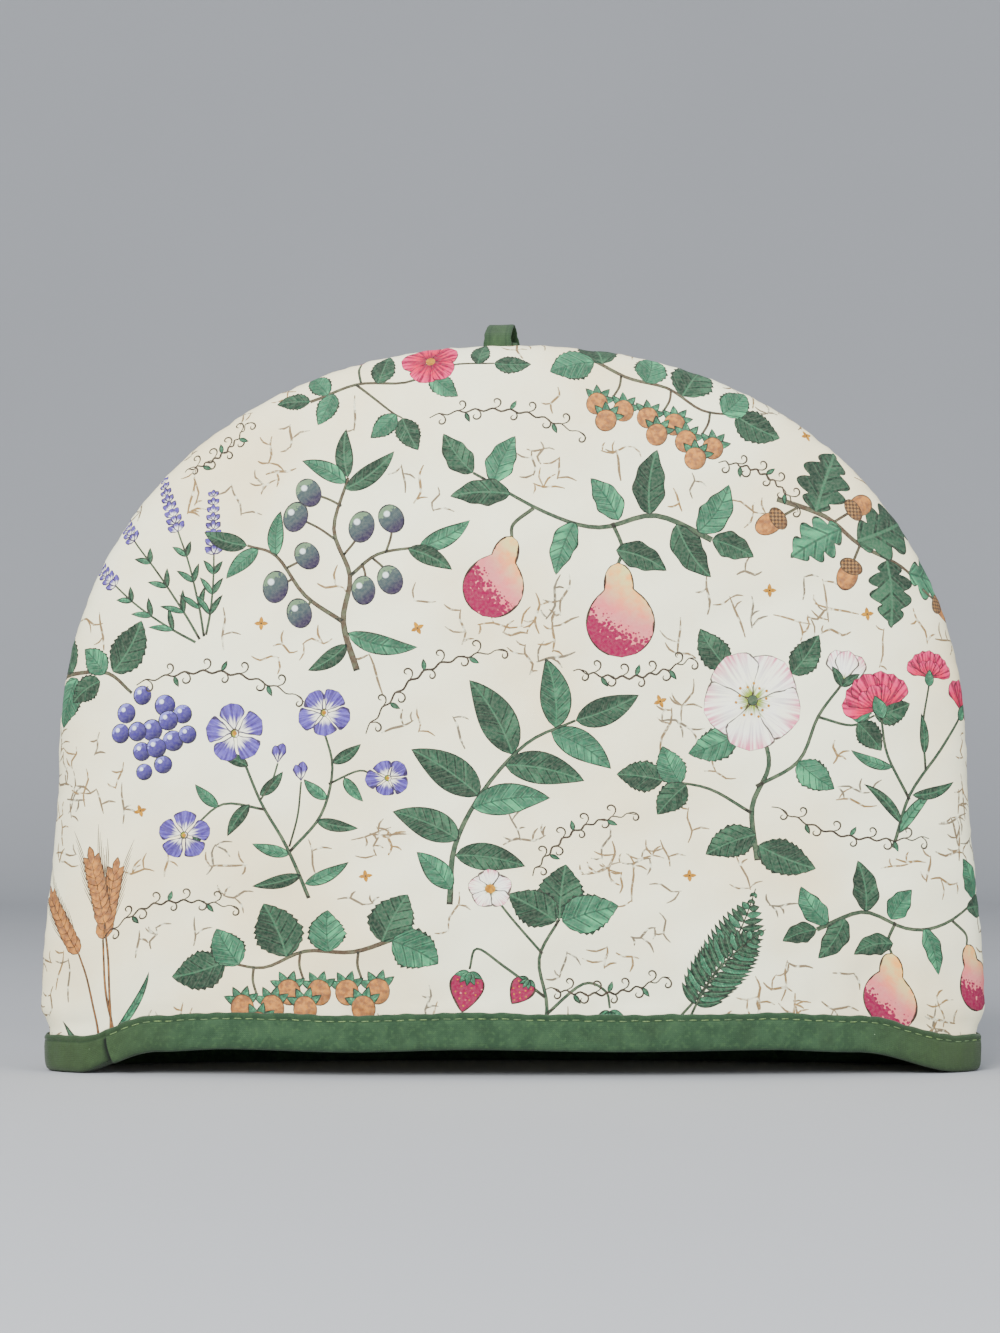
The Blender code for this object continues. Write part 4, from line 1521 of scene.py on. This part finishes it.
WEAVE = new_group("plain weave", ("Place", "Threads"), plain_weave)
MOTTLE = new_group("washed mottling", ("Place",), washed_mottling)
MARGIN = new_group("drawn margin", ("Margin", "Place", "Width"), drawn_margin)
print("node groups:", WEAVE.name, "/", MOTTLE.name, "/", MARGIN.name)


# %% What every printed material starts and ends with
class Ink:
    """What a painter works from: where it is in the stroke, and on the cloth."""

    def __init__(self, n):
        self.along, self.across, self.margin = n.separate(n.attribute("ink", "Vector"))
        self.tone = n.attribute("tone", "Fac")
        self.cloth = n.attribute("cloth", "Vector")
        self.side = abs(self.across)
        self.nodes = n

    def line(self, width):
        return self.nodes.group(MARGIN, {"Margin": self.margin, "Place": self.cloth,
                                         "Width": width})["Line"]


CREAM = paint(247, 247, 214)
CREAM_DULL = paint(238, 217, 168)
FADED = 0.04
WEAVE_THREADS = 2500.0


def cotton(n, painter):
    """Printed cotton. painter(nodes, ink) returns the colour of the ink."""
    ink = Ink(n)
    weave = n.group(WEAVE, {"Place": ink.cloth, "Threads": WEAVE_THREADS})
    mottle = n.group(MOTTLE, {"Place": ink.cloth})
    colour = painter(n, ink)
    if painter is not ground_ink:
        colour = n.mix(mottle["Specks"] * FADED, colour, CREAM)
    colour = n.mix(1.0, colour, n.combine(*[weave["Shade"]] * 3), "MULTIPLY")
    colour = n.mix(mottle["Patches"] * 0.5, colour, paint(247, 247, 247), "MULTIPLY")
    return {"Base Color": colour, "Roughness": mottle["Specks"] * 0.12 + 0.80,
            "Normal": n.bump(weave["Height"], 0.40, 0.00016), "Sheen Weight": 0.03,
            "Sheen Roughness": 0.6, "Specular IOR Level": 0.14}


# %% [markdown]
# ### The inks
# A leaf has one dark and one light side, hatching that follows its side veins, and a midrib. A
# pear goes from peach to a strong pink through dots that get denser. Petals have streaks that
# run out from the heart of the flower. `tone` is a number that each stroke was given, and it
# picks the lighter or darker recipe.

# %% Ground, twigs, pen and stems
def ground_ink(n, ink):
    return n.mix(n.patches(ink.cloth, 11.0, 5.0, 0.36, 0.70) * 0.75, CREAM, CREAM_DULL)


def twig_ink(n, ink):
    colour = n.mix(ink.tone, paint(140, 107, 58), paint(100, 92, 78))
    return n.mix(n.patches(ink.cloth, 420.0, 2.0, 0.30, 0.50) * 0.80 + 0.20, CREAM, colour)


def pen_ink(n, ink):
    return n.mix(n.patches(ink.cloth, 330.0, 2.0, 0.25, 0.75), paint(64, 52, 44),
                 paint(33, 26, 22))


def stem_ink(n, ink):
    colour = n.mix(n.step(ink.tone, 0.25, 0.8), paint(44, 67, 50), paint(76, 62, 48))
    light = n.patches(ink.cloth, 260.0, 2.0, 0.44, 0.64)
    colour = n.mix(light * 0.5, colour, paint(86, 100, 74))
    return n.mix(ink.line(0.26), colour, paint(31, 32, 27))


# %% Leaves
def leaf_ink(n, ink):
    """Two greens: a deep one and a pale one, each with a shaded side, side veins and a rib."""
    pale_leaf = n.step(ink.tone, 0.42, 0.62)
    colour = n.mix(pale_leaf, paint(37, 69, 51), paint(51, 108, 79))
    deep = n.mix(pale_leaf, paint(21, 40, 31), paint(34, 70, 53))
    light = n.mix(pale_leaf, paint(56, 100, 72), paint(71, 162, 110))
    veins = ink.along - ink.side * 0.85
    washes = n.noise(n.combine(veins * 0.8, ink.side * 0.5, ink.tone * 37.0), 1.0, 1.0)
    shaded = n.step(washes, 0.34, 0.62) * (n.step(ink.across, -0.25, 0.55) + 0.25)
    colour = n.mix(n.math("MINIMUM", shaded, 0.85), colour, deep)
    lit = n.step(washes, 0.50, 0.36) * n.step(ink.across, 0.5, -0.5)
    colour = n.mix(lit * 0.7, colour, light)
    ridge = abs(n.math("SINE", veins * math.pi))
    pressed = n.patches(ink.cloth, 260.0, 1.0, 0.30, 0.50)
    colour = n.mix(n.step(ridge, 0.38, 0.16) * pressed * 0.9, colour, deep)
    beside = n.step(ridge, 0.30, 0.44) * n.step(ridge, 0.66, 0.5)
    colour = n.mix(beside * pressed * 0.35, colour, light)
    rib = n.step(ink.side, 0.11, 0.04) * n.step(ink.margin, 0.3, 0.7)
    colour = n.mix(rib * 0.85, colour, n.mix(pale_leaf, light, deep))
    return n.mix(ink.line(0.44) * 0.95, colour, paint(20, 32, 27))


# %% Fruit and berries
def dots(n, ink, amount, scale):
    """Small specks that fill the cloth as amount goes from 0 to 1."""
    uneven = n.cells(ink.cloth, scale) + n.noise(ink.cloth, scale * 0.5, 1.0) * 0.5
    return n.step(amount * 1.25 - uneven, -0.06, 0.06)


def fruit_ink(n, ink):
    """A pear's blush grows to one side of its belly. A strawberry is red nearly all over."""
    strawberry = n.step(ink.tone, 0.78, 0.86)
    slant = ink.along * 0.62 - ink.across * 0.78 + (ink.tone - 0.4) * 0.5
    out = ink.along**2.0 + ink.across**2.0
    blush = n.step(slant + (out - 0.5) * 0.5, -0.50, 0.95)
    ripe = n.step(1.0 - ink.side * 1.1, -0.1, 0.75)
    blush = n.add("Mix", {0: strawberry, 2: blush, 3: ripe})
    peach = n.mix(n.patches(ink.cloth, 190.0, 3.0, 0.35, 0.68), paint(216, 205, 126),
                  paint(247, 165, 73))
    colour = n.mix(n.step(blush, 0.02, 0.60) * 0.8, peach, paint(210, 86, 119))
    colour = n.mix(dots(n, ink, n.step(blush, 0.36, 1.00), 900.0), colour, paint(132, 5, 61))
    deep = dots(n, ink, n.step(slant, 0.55, 1.35), 1000.0)
    colour = n.mix(deep * 0.75, colour, paint(108, 3, 50))
    return n.mix(ink.line(0.72), colour, paint(46, 26, 23))


def berry_ink(n, ink):
    sloe = n.step(ink.tone, 0.4, 0.6)
    slant = ink.along * 0.6 - ink.across * 0.8
    body = n.mix(sloe, paint(65, 54, 126), paint(59, 72, 74))
    deep = n.mix(sloe, paint(33, 23, 68), paint(45, 35, 61))
    light = n.mix(sloe, paint(129, 128, 210), paint(103, 131, 96))
    colour = n.mix(n.step(slant, -0.1, 0.8), body, deep)
    colour = n.mix(dots(n, ink, n.step(slant, 0.1, -0.9), 1300.0) * 0.75, colour, light)
    bloom = (ink.along + 0.32) ** 2.0 + (ink.across - 0.34) ** 2.0
    colour = n.mix(n.step(bloom, 0.07, 0.02) * 0.7, colour, paint(238, 247, 247))
    return n.mix(ink.line(0.36), colour, paint(25, 23, 38))


# %% Petals
def streaks(n, ink, count, seed):
    """Fine lines that run along a petal."""
    fan = ink.across / (ink.along + 0.25)
    return n.noise(n.combine(fan * count, ink.along * 1.2, ink.tone * seed), 1.0, 2.0)


def white_ink(n, ink):
    colour = n.mix(n.noise(ink.cloth, 90.0, 2.0), paint(247, 247, 247), paint(247, 247, 207))
    lines = streaks(n, ink, 16.0, 23.0)
    shade = n.step(lines, 0.46, 0.66) * n.step(ink.along, 0.15, 0.7)
    colour = n.mix(shade * 0.5, colour, paint(161, 145, 168))
    flush = n.step(ink.along, 0.55, 1.0) * n.step(lines, 0.36, 0.60)
    colour = n.mix(flush * 0.8, colour, paint(218, 57, 117))
    heart = n.step(ink.along + lines * 0.5, 0.60, 0.36)
    colour = n.mix(heart, colour, paint(124, 145, 29))
    return n.mix(ink.line(0.54) * 0.95, colour, paint(50, 36, 32))


def violet_ink(n, ink):
    lines = streaks(n, ink, 15.0, 31.0)
    colour = n.mix(n.step(lines, 0.36, 0.62), paint(96, 81, 174), paint(66, 49, 123))
    heart = n.step(ink.along + lines * 0.7, 0.90, 0.60)
    colour = n.mix(heart * 0.9, colour, paint(247, 247, 222))
    return n.mix(ink.line(0.48), colour, paint(45, 32, 73))


def pink_ink(n, ink):
    lines = streaks(n, ink, 13.0, 17.0)
    colour = n.mix(n.step(lines, 0.40, 0.60), paint(213, 5, 69), paint(130, 0, 54))
    pale = n.step(ink.along, 0.45, 0.95) * n.step(lines, 0.62, 0.42)
    colour = n.mix(pale * 0.55, colour, paint(227, 67, 130))
    heart = n.step(ink.along + lines * 0.5, 0.70, 0.40)
    colour = n.mix(heart * 0.8, colour, paint(94, 7, 43))
    return n.mix(ink.line(0.32), colour, paint(71, 8, 34))


# %% Nuts, grain and spots
def tan_ink(n, ink):
    """Grain and nuts. A tone near 1 is the scaly cup of an acorn."""
    colour = n.mix(n.patches(ink.cloth, 480.0, 3.0, 0.38, 0.62), paint(184, 121, 56),
                   paint(137, 87, 51))
    slant = ink.along - ink.across
    net = n.math("SINE", (ink.along + ink.across) * 9.0) * n.math("SINE", slant * 9.0)
    scales = n.mix(n.step(net, -0.2, 0.3), paint(69, 48, 34), paint(139, 100, 57))
    colour = n.mix(n.step(ink.tone, 0.80, 0.9), colour, scales)
    colour = n.mix(n.step(slant, 0.2, 1.1) * 0.5, colour, paint(87, 58, 40))
    return n.mix(ink.line(0.32) * 0.9, colour, paint(55, 37, 27))


def ochre_ink(n, ink):
    return n.mix(n.patches(ink.cloth, 600.0, 2.0, 0.35, 0.65), paint(179, 124, 15),
                 paint(149, 98, 22))


PAINTERS = {
    "ground": ground_ink, "twig": twig_ink, "pen": pen_ink, "stem": stem_ink, "leaf": leaf_ink,
    "fruit": fruit_ink, "berry": berry_ink, "white": white_ink, "violet": violet_ink,
    "pink": pink_ink, "tan": tan_ink, "ochre": ochre_ink,
}
inks = {name: make_material(name, cotton, PAINTERS[name]) for name in INKS}
for piece in PANELS:
    for name in INKS:
        piece.data.materials.append(inks[name])
print("inks:", ", ".join(inks))

# %% [markdown]
# ## The binding
# Bias tape is a strip cut on the slant of the cloth, with its long edges pressed under. It is
# folded over the raw hem and stitched through, all in one pass. Where it comes back to its
# start, near the left corner of the front, its end laps over the beginning. The shadow under its
# edge is painted into the tape's colour as a short dark curve. The stitches pull the tape in, so
# it swells between them.
# It is built as a sweep: a table of rows gives the folded section, and each row is carried round
# the mouth in millimetre steps. The two faces of the tape are moved apart from the middle of its
# thickness, by less towards the folded edges, which rounds them.

# %% Round the mouth
TAPE = 0.0012
TAPE_SLACK = 0.00055
SLACK_INSIDE = 0.00030
TAPE_STRIDE = 0.0010
LAP_START = math.radians(315.8)
LAP_END = math.radians(683.8)
LAP_RAMP = math.radians(8.0)
MIDDLE_OF_BACK = math.radians(450.0)
LAP_LIFT = TAPE + 0.0003
LAP_CUT = 0.0028
LAP_CUT_RUN = 0.012
# Where the painted shadow under the end of the lap lies, and how wide it is
LAP_SHADOW_OUT, LAP_SHADOW_WIDTH = 0.0011, 0.0010


def mouth_curve(around, inside):
    """The hem seen from above. around is 0 at the left corner, then the back, right and front."""
    back_or_front = np.copysign(1.0, np.sin(around))
    left_or_right = -np.copysign(1.0, np.cos(around))
    angle = np.arcsin(np.minimum(np.abs(np.sin(around)), 1.0))
    inset = PAD_AT_HEM if inside else 0.0
    turned = angle if inside else np.maximum(angle - SHOULDER, 0.0) * SHOULDER_RATE
    x = left_or_right * (side_half_width(np.array(HEM_EDGE_Z)) - inset) * np.cos(turned)
    y = back_or_front * (SEAM_GAP / 2 + (HEM_DEPTH - inset) * np.sin(angle))
    return np.stack([x, y], axis=-1)


def mouth_outward(around, inside, nudge=math.radians(0.7)):
    ways = unit(mouth_curve(around + nudge, inside) - mouth_curve(around - nudge, inside))
    return np.stack([-ways[..., 1], ways[..., 0]], axis=-1)


fine = np.linspace(LAP_START, LAP_END, 8001)
fine_steps = np.linalg.norm(np.diff(mouth_curve(fine, False), axis=0), axis=1)
fine_run = np.concatenate([[0.0], np.cumsum(fine_steps)])
TAPE_LENGTH = fine_run[-1]
LAP_RUN = np.interp(LAP_END - 2.0 * math.pi, fine, fine_run)
print("tape along the hem:", round(TAPE_LENGTH / MM), "mm, with its lap")

# %% The folded section
STITCH_PITCH = 0.0041
STITCH_Z = 0.0110

# columns: height, stand-out, lean of the face, fullness
TAPE_HALF_SECTION = (
    (0.01315, -0.00022, 0, 0.00),
    (0.01300, -0.00014, 0, 0.55),
    (0.01265, 0.00000, 0, 0.90),
    (0.01215, 0.00016, 0, 1.00),
    (0.01160, 0.00004, 0, 1.00),
    (STITCH_Z, -0.00020, 0, 0.90),
    (0.01050, 0.00000, 0, 1.00),
    (0.00960, 0.00012, 0, 1.00),
    (0.00820, 0.00014, 0, 1.00),
    (0.00640, 0.00008, 0, 1.00),
    (0.00450, 0.00002, 0, 1.00),
    (0.00310, -0.00006, 8, 1.00),
    (0.00205, -0.00020, 26, 1.00),
    (0.00125, -0.00050, 52, 1.00),
    (0.00078, -0.00100, 76, 1.00),
    (0.00062, -0.00170, 90, 1.00),
)
# The same with the leg first: 0 outside, 1 inside, and one row half-way between them
TAPE_SECTION = (*((0, *row) for row in TAPE_HALF_SECTION), (0.5, *TAPE_HALF_SECTION[-1]),
                *((1, *row) for row in TAPE_HALF_SECTION[::-1]))


def lap_cut(height):
    """How far the slanting end of the lap moves on at a height: furthest at the bottom."""
    return -LAP_CUT * (1.0 - height / TAPE_HEIGHT) ** 2


def tape_points(run, row, face, lift=0.0):
    """Points of the tape: run along it, a section row, and which face (1 out, -1 in)."""
    leg, height, stand, lean, fullness = row
    run = run + lap_cut(height) * smooth((run - (TAPE_LENGTH - LAP_CUT_RUN)) / LAP_CUT_RUN)
    around = np.interp(run, fine_run, fine)
    over = LAP_LIFT * smooth((around - (LAP_END - 2 * LAP_RAMP)) / LAP_RAMP)
    under = LAP_LIFT * smooth((LAP_START + 2 * LAP_RAMP - around) / LAP_RAMP)
    near_edge = smooth((height - 0.0095) / 0.003)
    sway = 0.00022 * ripple(run, (0.0067, 0.0113, 0.019, 0.034, 0.061), 5) * near_edge
    swell = 0.00016 * ripple(run, (0.0053, 0.0088, 0.015, 0.027), 6 + round(2 * leg))
    swell = swell * smooth((height - 0.0015) / 0.003)
    pull = 0.00016 * np.cos(2.0 * math.pi * run / STITCH_PITCH)
    pull = pull * math.exp(-(((height - STITCH_Z) / 0.0011) ** 2))
    lean = math.radians(lean)
    thick = face * TAPE / 2 * fullness + lift
    away = TAPE_SLACK + TAPE / 2 + stand + over + swell - pull + thick * math.cos(lean)
    z = height + under * (1.0 - height / TAPE_HEIGHT) + sway - thick * math.sin(lean)
    outer = mouth_curve(around, False) + mouth_outward(around, False) * away[:, None]
    inward = mouth_outward(around, True) * (away + SLACK_INSIDE)[:, None]
    inner = mouth_curve(around, True) - inward
    place = mix(outer, inner, leg)
    y = place[:, 1] + seam_lean(z)
    z = z + np.where(np.sin(around) < 0.0, front_lift(place[:, 0], z), 0.0)
    return np.stack([place[:, 0], y, np.maximum(z, 0.0)], axis=1)


# %% Sweeping the tape
def on_the_bias(run, across):
    """Cloth coordinates for tape, whose threads run at 45 degrees to its edges."""
    half = math.sqrt(0.5)
    return np.stack([(run + across) * half, (run - across) * half, np.zeros_like(run)], axis=1)


def make_binding():
    close = np.arange(LAP_RUN - 0.005, LAP_RUN + 0.003, 0.00022)
    run = np.unique(np.concatenate([np.arange(0.0, TAPE_LENGTH - 0.0002, TAPE_STRIDE), close,
                                    [TAPE_LENGTH - 0.0002, TAPE_LENGTH]]))
    ring = [(row, 1) for row in TAPE_SECTION] + [(row, -1) for row in TAPE_SECTION[-2:0:-1]]
    places = np.stack([tape_points(run, row, face) for row, face in ring], axis=1)
    stations, size, rows = len(run), len(ring), len(TAPE_SECTION)
    index = np.arange(stations * size).reshape(stations, size)
    here, along = index[:-1], index[1:]
    quads = np.stack([here, along, np.roll(along, -1, 1), np.roll(here, -1, 1)], axis=-1)
    faces = quads.reshape(-1, 4).tolist()
    for station, turned in ((0, False), (stations - 1, True)):
        # The cut ends are closed by strips between the two faces of the tape
        outer = [index[station, i] for i in range(rows)]
        inner = [outer[0]] + [index[station, size - i] for i in range(1, rows - 1)] + [outer[-1]]
        for i in range(rows - 1):
            strip = list(dict.fromkeys([outer[i], outer[i + 1], inner[i + 1], inner[i]]))
            faces.append(strip[::-1] if turned else strip)
    mesh = new_mesh("cosy_binding", places.reshape(-1, 3).tolist(), faces)
    behind = np.searchsorted(run, np.interp(MIDDLE_OF_BACK, fine, fine_run))
    steps = np.linalg.norm(np.diff(places[behind], axis=0), axis=1)
    across = np.tile(np.concatenate([[0.0], np.cumsum(steps)]), stations)
    far = np.repeat(run, size)
    set_attribute(mesh, "cloth", on_the_bias(far, across))
    heights = np.tile([row[1] for row, _ in ring], stations)
    age = smooth((np.abs(places[..., 0].ravel()) - 0.105) / 0.055)
    set_attribute(mesh, "tape", np.stack([far, heights, age], axis=1))
    # The end of the lap stands off the layer under it, with a gap below the stitches
    # The shadow in that gap and on the cut end is painted dark into the tape's colour
    shadow_width = LAP_SHADOW_WIDTH * (1.7 - heights / TAPE_HEIGHT)
    gap = (far - (LAP_RUN + lap_cut(heights) + LAP_SHADOW_OUT)) / shadow_width
    painted_shadow = np.maximum(np.exp(-gap**2), far == TAPE_LENGTH) * smooth((STITCH_Z - heights) / 0.0014)
    set_attribute(mesh, "lap_shadow", painted_shadow, "FLOAT")
    mesh.validate()
    binding = make_object(mesh)
    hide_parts("hem_binding")
    return binding


# %% [markdown]
# ### The stitches
# A machine stitch shows as short pale threads, each end diving into the cloth. Every one is a
# thin tube of seven rings that follows the tape, proud of it in the middle and sunk at its ends.

# %% Stitches along the binding
THREAD_RADIUS = 0.00019
STITCH_SHARE = 0.76
RING_POINTS = 6


def add_thread(path, sides, ups, radii, places, faces):
    """One stitch: rings around a path, closed at both ends."""
    start = len(places)
    for centre, side, up, radius in zip(path, sides, ups, radii):
        for i in range(RING_POINTS):
            turn = 2.0 * math.pi * i / RING_POINTS
            places.append(centre + radius * (math.cos(turn) * side + math.sin(turn) * up))
    for ring in range(len(path) - 1):
        for i in range(RING_POINTS):
            a, b = (start + ring * RING_POINTS + k % RING_POINTS for k in (i, i + 1))
            faces.append((a, b, b + RING_POINTS, a + RING_POINTS))
    last = start + (len(path) - 1) * RING_POINTS
    faces.append(tuple(range(start + RING_POINTS - 1, start - 1, -1)))
    faces.append(tuple(range(last, last + RING_POINTS)))


def make_stitches():
    luck = np.random.default_rng(9)
    places, faces = [], []
    share = np.linspace(0.0, 1.0, 7)
    sunk = np.abs(2.0 * share - 1.0) ** 3
    corner = np.interp(2.0 * math.pi, fine, fine_run)
    for leg in (0, 1):
        for i in range(int(LAP_RUN / STITCH_PITCH), int(TAPE_LENGTH / STITCH_PITCH)):
            start = (i + 0.5 * leg + luck.uniform(-0.03, 0.03)) * STITCH_PITCH
            if leg == 0 and start < corner:
                continue
            run = start + share * STITCH_PITCH * STITCH_SHARE
            row = (leg, STITCH_Z + luck.uniform(-0.00008, 0.00008), -0.00016, 0, 1.0)
            path = np.array([tape_points(run[k:k + 1], row, 1, 0.00008 - 0.00036 * sunk[k])[0]
                             for k in range(len(share))])
            above = tape_points(run, (leg, row[1] + 0.0004, *row[2:]), 1)
            sides = unit(above - tape_points(run, row, 1))
            ups = np.cross(unit(np.gradient(path, axis=0)), sides)
            radii = THREAD_RADIUS * np.sqrt(np.maximum(1.02 - (2.0 * share - 1.0) ** 4, 0.1))
            add_thread(path, sides, ups, radii, places, faces)
    mesh = new_mesh("binding_stitches", [tuple(place) for place in places], faces)
    stitches = make_object(mesh)
    print("stitches:", len(faces) // (6 * RING_POINTS + 2), "in", len(faces), "faces")
    return stitches


stitches = make_stitches()
binding = make_binding()

# %% [markdown]
# ## The hanging loop
# A short folded length of the same tape is caught in the seam at the top. It has flopped back
# over years of hanging, so from the front only its near layer shows. It is a grid bent by the
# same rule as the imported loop, thickened with Solidify and rounded with Subdivision Surface.

# %% The loop
LOOP_X = -0.0056
LOOP_WIDTH = 0.0105
LOOP_THICKNESS = 0.0012
LOOP_LENGTH = 0.0140
LOOP_SWELL = 0.0055
LOOP_FLOP = math.radians(80.0)
LOOP_FLOP_RUN = 0.0060
LOOP_TWIST = math.radians(-10.0)
LOOP_OFFSET = 0.0021
LOOP_SEAT = 0.0004
LOOP_AGE = 0.55
LOOP_STEPS, LOOP_ROWS = 56, 10


def loop_points(along, across):
    """The middle of the loop's strip, from one end in the seam, round, to the other."""
    rise = LOOP_LENGTH * np.sin(math.pi * along)
    bow = LOOP_SWELL * np.sin(2.0 * math.pi * along) * np.sin(math.pi * along)
    apart = (LOOP_THICKNESS + SEAM_GAP) / 2 * np.cos(math.pi * along)
    curved = np.minimum(rise, LOOP_FLOP_RUN)
    straight = rise - curved
    bend = LOOP_FLOP * curved / LOOP_FLOP_RUN
    radius = LOOP_FLOP_RUN / LOOP_FLOP
    # Stitched edges are drawn in a little, and the strip cups between them
    edge = np.abs(2.0 * across - 1.0)
    forward = -(bow + apart) + 0.00022 * (1.0 - edge**2) * np.cos(math.pi * along)
    y = radius * (1.0 - np.cos(bend)) + straight * np.sin(bend) + forward * np.cos(bend)
    z = radius * np.sin(bend) + straight * np.cos(bend) - forward * np.sin(bend)
    fray = 0.00016 * ripple(along * 0.04, (0.0023, 0.0041, 0.0078), 8) * (2.0 * across - 1.0)
    narrowing = 1.0 - 0.10 * rise / LOOP_LENGTH
    x = LOOP_WIDTH * (across - 0.5) * narrowing + fray
    twist = LOOP_TWIST * smooth(1.4 * rise / LOOP_LENGTH)
    turned_x = x * np.cos(twist) - y * np.sin(twist)
    turned_y = x * np.sin(twist) + y * np.cos(twist)
    seat_z = mix(SPINE_TOP_Z, TOP_Z, shoulder_reach(0.0)) + LOOP_SEAT
    middle_x = LOOP_X + LOOP_OFFSET * smooth((along - 0.25) / 0.5)
    return np.stack([middle_x + turned_x, seam_lean(TOP_Z) + turned_y, seat_z + z], axis=1)


def make_loop():
    along, across = np.meshgrid(np.linspace(0.0, 1.0, LOOP_STEPS + 1),
                                np.linspace(0.0, 1.0, LOOP_ROWS + 1), indexing="ij")
    along, across = along.ravel(), across.ravel()
    places = loop_points(along, across)
    index = np.arange(len(places)).reshape(LOOP_STEPS + 1, LOOP_ROWS + 1)
    quads = np.stack([index[:-1, :-1], index[1:, :-1], index[1:, 1:], index[:-1, 1:]], axis=-1)
    mesh = new_mesh("cosy_loop", places.tolist(), quads.reshape(-1, 4).tolist())
    middle = places.reshape(LOOP_STEPS + 1, -1, 3)[:, LOOP_ROWS // 2]
    length = np.linalg.norm(np.diff(middle, axis=0), axis=1).sum()
    set_attribute(mesh, "cloth", on_the_bias(along * length, across * LOOP_WIDTH))
    edge = TAPE_TOP_Z - LOOP_WIDTH * np.minimum(across, 1.0 - across)
    age = np.full_like(edge, LOOP_AGE)
    set_attribute(mesh, "tape", np.stack([along * length, edge, age], axis=1))
    loop = make_object(mesh)
    solidify = loop.modifiers.new("thickness", "SOLIDIFY")
    solidify.thickness = LOOP_THICKNESS * 0.92
    solidify.offset = 0.0
    rounding = loop.modifiers.new("rounding", "SUBSURF")
    rounding.levels = rounding.render_levels = 1
    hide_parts("hanging_loop")
    print("loop strip:", round(length / MM, 1), "mm long and", LOOP_WIDTH / MM, "mm wide")
    return loop


loop = make_loop()

# %% [markdown]
# ### Green tape and pale thread
# The tape is dyed cotton: matt, a little fuzzy, and mottled where it has rubbed and faded. It is
# a shade more olive towards both corners of the hem. Its weave is the shared group at 45
# degrees, because the tape is cut on the bias. Painted shade darkens the band along its top
# edge and the groove of the stitch line.

# %% Tape and thread materials
TAPE_THREADS = 2100.0
# The colour of the painted shadow under the end of the lap
LAP_SHADOW_COLOUR = (0.004, 0.007, 0.005, 1.0)


def dyed_tape(n):
    cloth = n.attribute("cloth", "Vector")
    _, height, age = n.separate(n.attribute("tape", "Vector"))
    weave = n.group(WEAVE, {"Place": cloth, "Threads": TAPE_THREADS})
    mottle = n.group(MOTTLE, {"Place": cloth})
    rubbed = n.patches(cloth, 150.0, 4.0, 0.36, 0.66)
    colour = n.mix(rubbed, paint(38, 62, 42), paint(49, 75, 51))
    faded = n.patches(cloth, 620.0, 3.0, 0.48, 0.70)
    colour = n.mix(faded * 0.45, colour, paint(63, 92, 58))
    colour = n.mix(age * 0.70, colour, paint(50, 64, 36))
    soiled = n.patches(cloth, 60.0, 4.0, 0.52, 0.74)
    colour = n.mix(soiled * 0.45, colour, paint(38, 53, 35))
    # Painted shade: darker along the tape's top edge, and in the groove of the stitch line
    top_edge_shade = n.step(height, STITCH_Z + 0.0002, STITCH_Z + 0.0012)
    colour = n.mix(top_edge_shade * 0.42, colour, paint(30, 53, 35))
    groove_shade = n.step(abs(height - STITCH_Z), 0.0006, 0.0002)
    colour = n.mix(groove_shade * 0.5, colour, paint(27, 47, 30))
    lint = n.step(n.cells(cloth, 95.0), 0.026, 0.012)
    colour = n.mix(lint * 0.75, colour, paint(157, 187, 145))
    # Painted shadow under the end of the lap
    colour = n.mix(n.attribute("lap_shadow", "Fac"), colour, LAP_SHADOW_COLOUR)
    colour = n.mix(1.0, colour, n.combine(*[weave["Shade"]] * 3), "MULTIPLY")
    fuzz = n.noise(cloth, 1500.0, 3.0)
    return {"Base Color": colour, "Roughness": mottle["Specks"] * 0.12 + 0.84,
            "Normal": n.bump(weave["Height"] + fuzz * 0.8, 0.65, 0.00022), "Sheen Weight": 0.10,
            "Sheen Roughness": 0.5, "Specular IOR Level": 0.2}


def sewing_thread(n):
    place = n.add("TexCoord", {}, "Object")
    twist = n.noise(place, 3200.0, 1.0)
    faded = n.patches(place, 130.0, 2.0, 0.35, 0.65)
    colour = n.mix(faded, paint(113, 142, 78), paint(82, 107, 68))
    # Painted shade: darker where the twist's bump is low
    colour = n.mix(n.step(twist, 0.55, 0.35), colour, paint(65, 81, 56))
    return {"Base Color": colour, "Roughness": faded * 0.15 + 0.62,
            "Normal": n.bump(twist, 0.5, 0.0001)}


green_tape = make_material("green tape", dyed_tape)
binding.data.materials.append(green_tape)
loop.data.materials.append(green_tape)
stitches.data.materials.append(make_material("pale thread", sewing_thread))

# %% [markdown]
# ## The studio floor
# The floor and backdrop are plain and pale, so that nothing competes with the print.

# %% The floor material
FLOOR_GREY, FLOOR_PALER = (0.33, 0.34, 0.36, 1.0), (0.36, 0.37, 0.39, 1.0)


def pale_floor(n):
    cloudy = n.noise(n.add("TexCoord", {}, "Object"), 3.0, 3.0)
    return {"Base Color": n.mix(cloudy, FLOOR_GREY, FLOOR_PALER), "Roughness": 0.9}


backdrop.data.materials.append(make_material("pale floor", pale_floor))
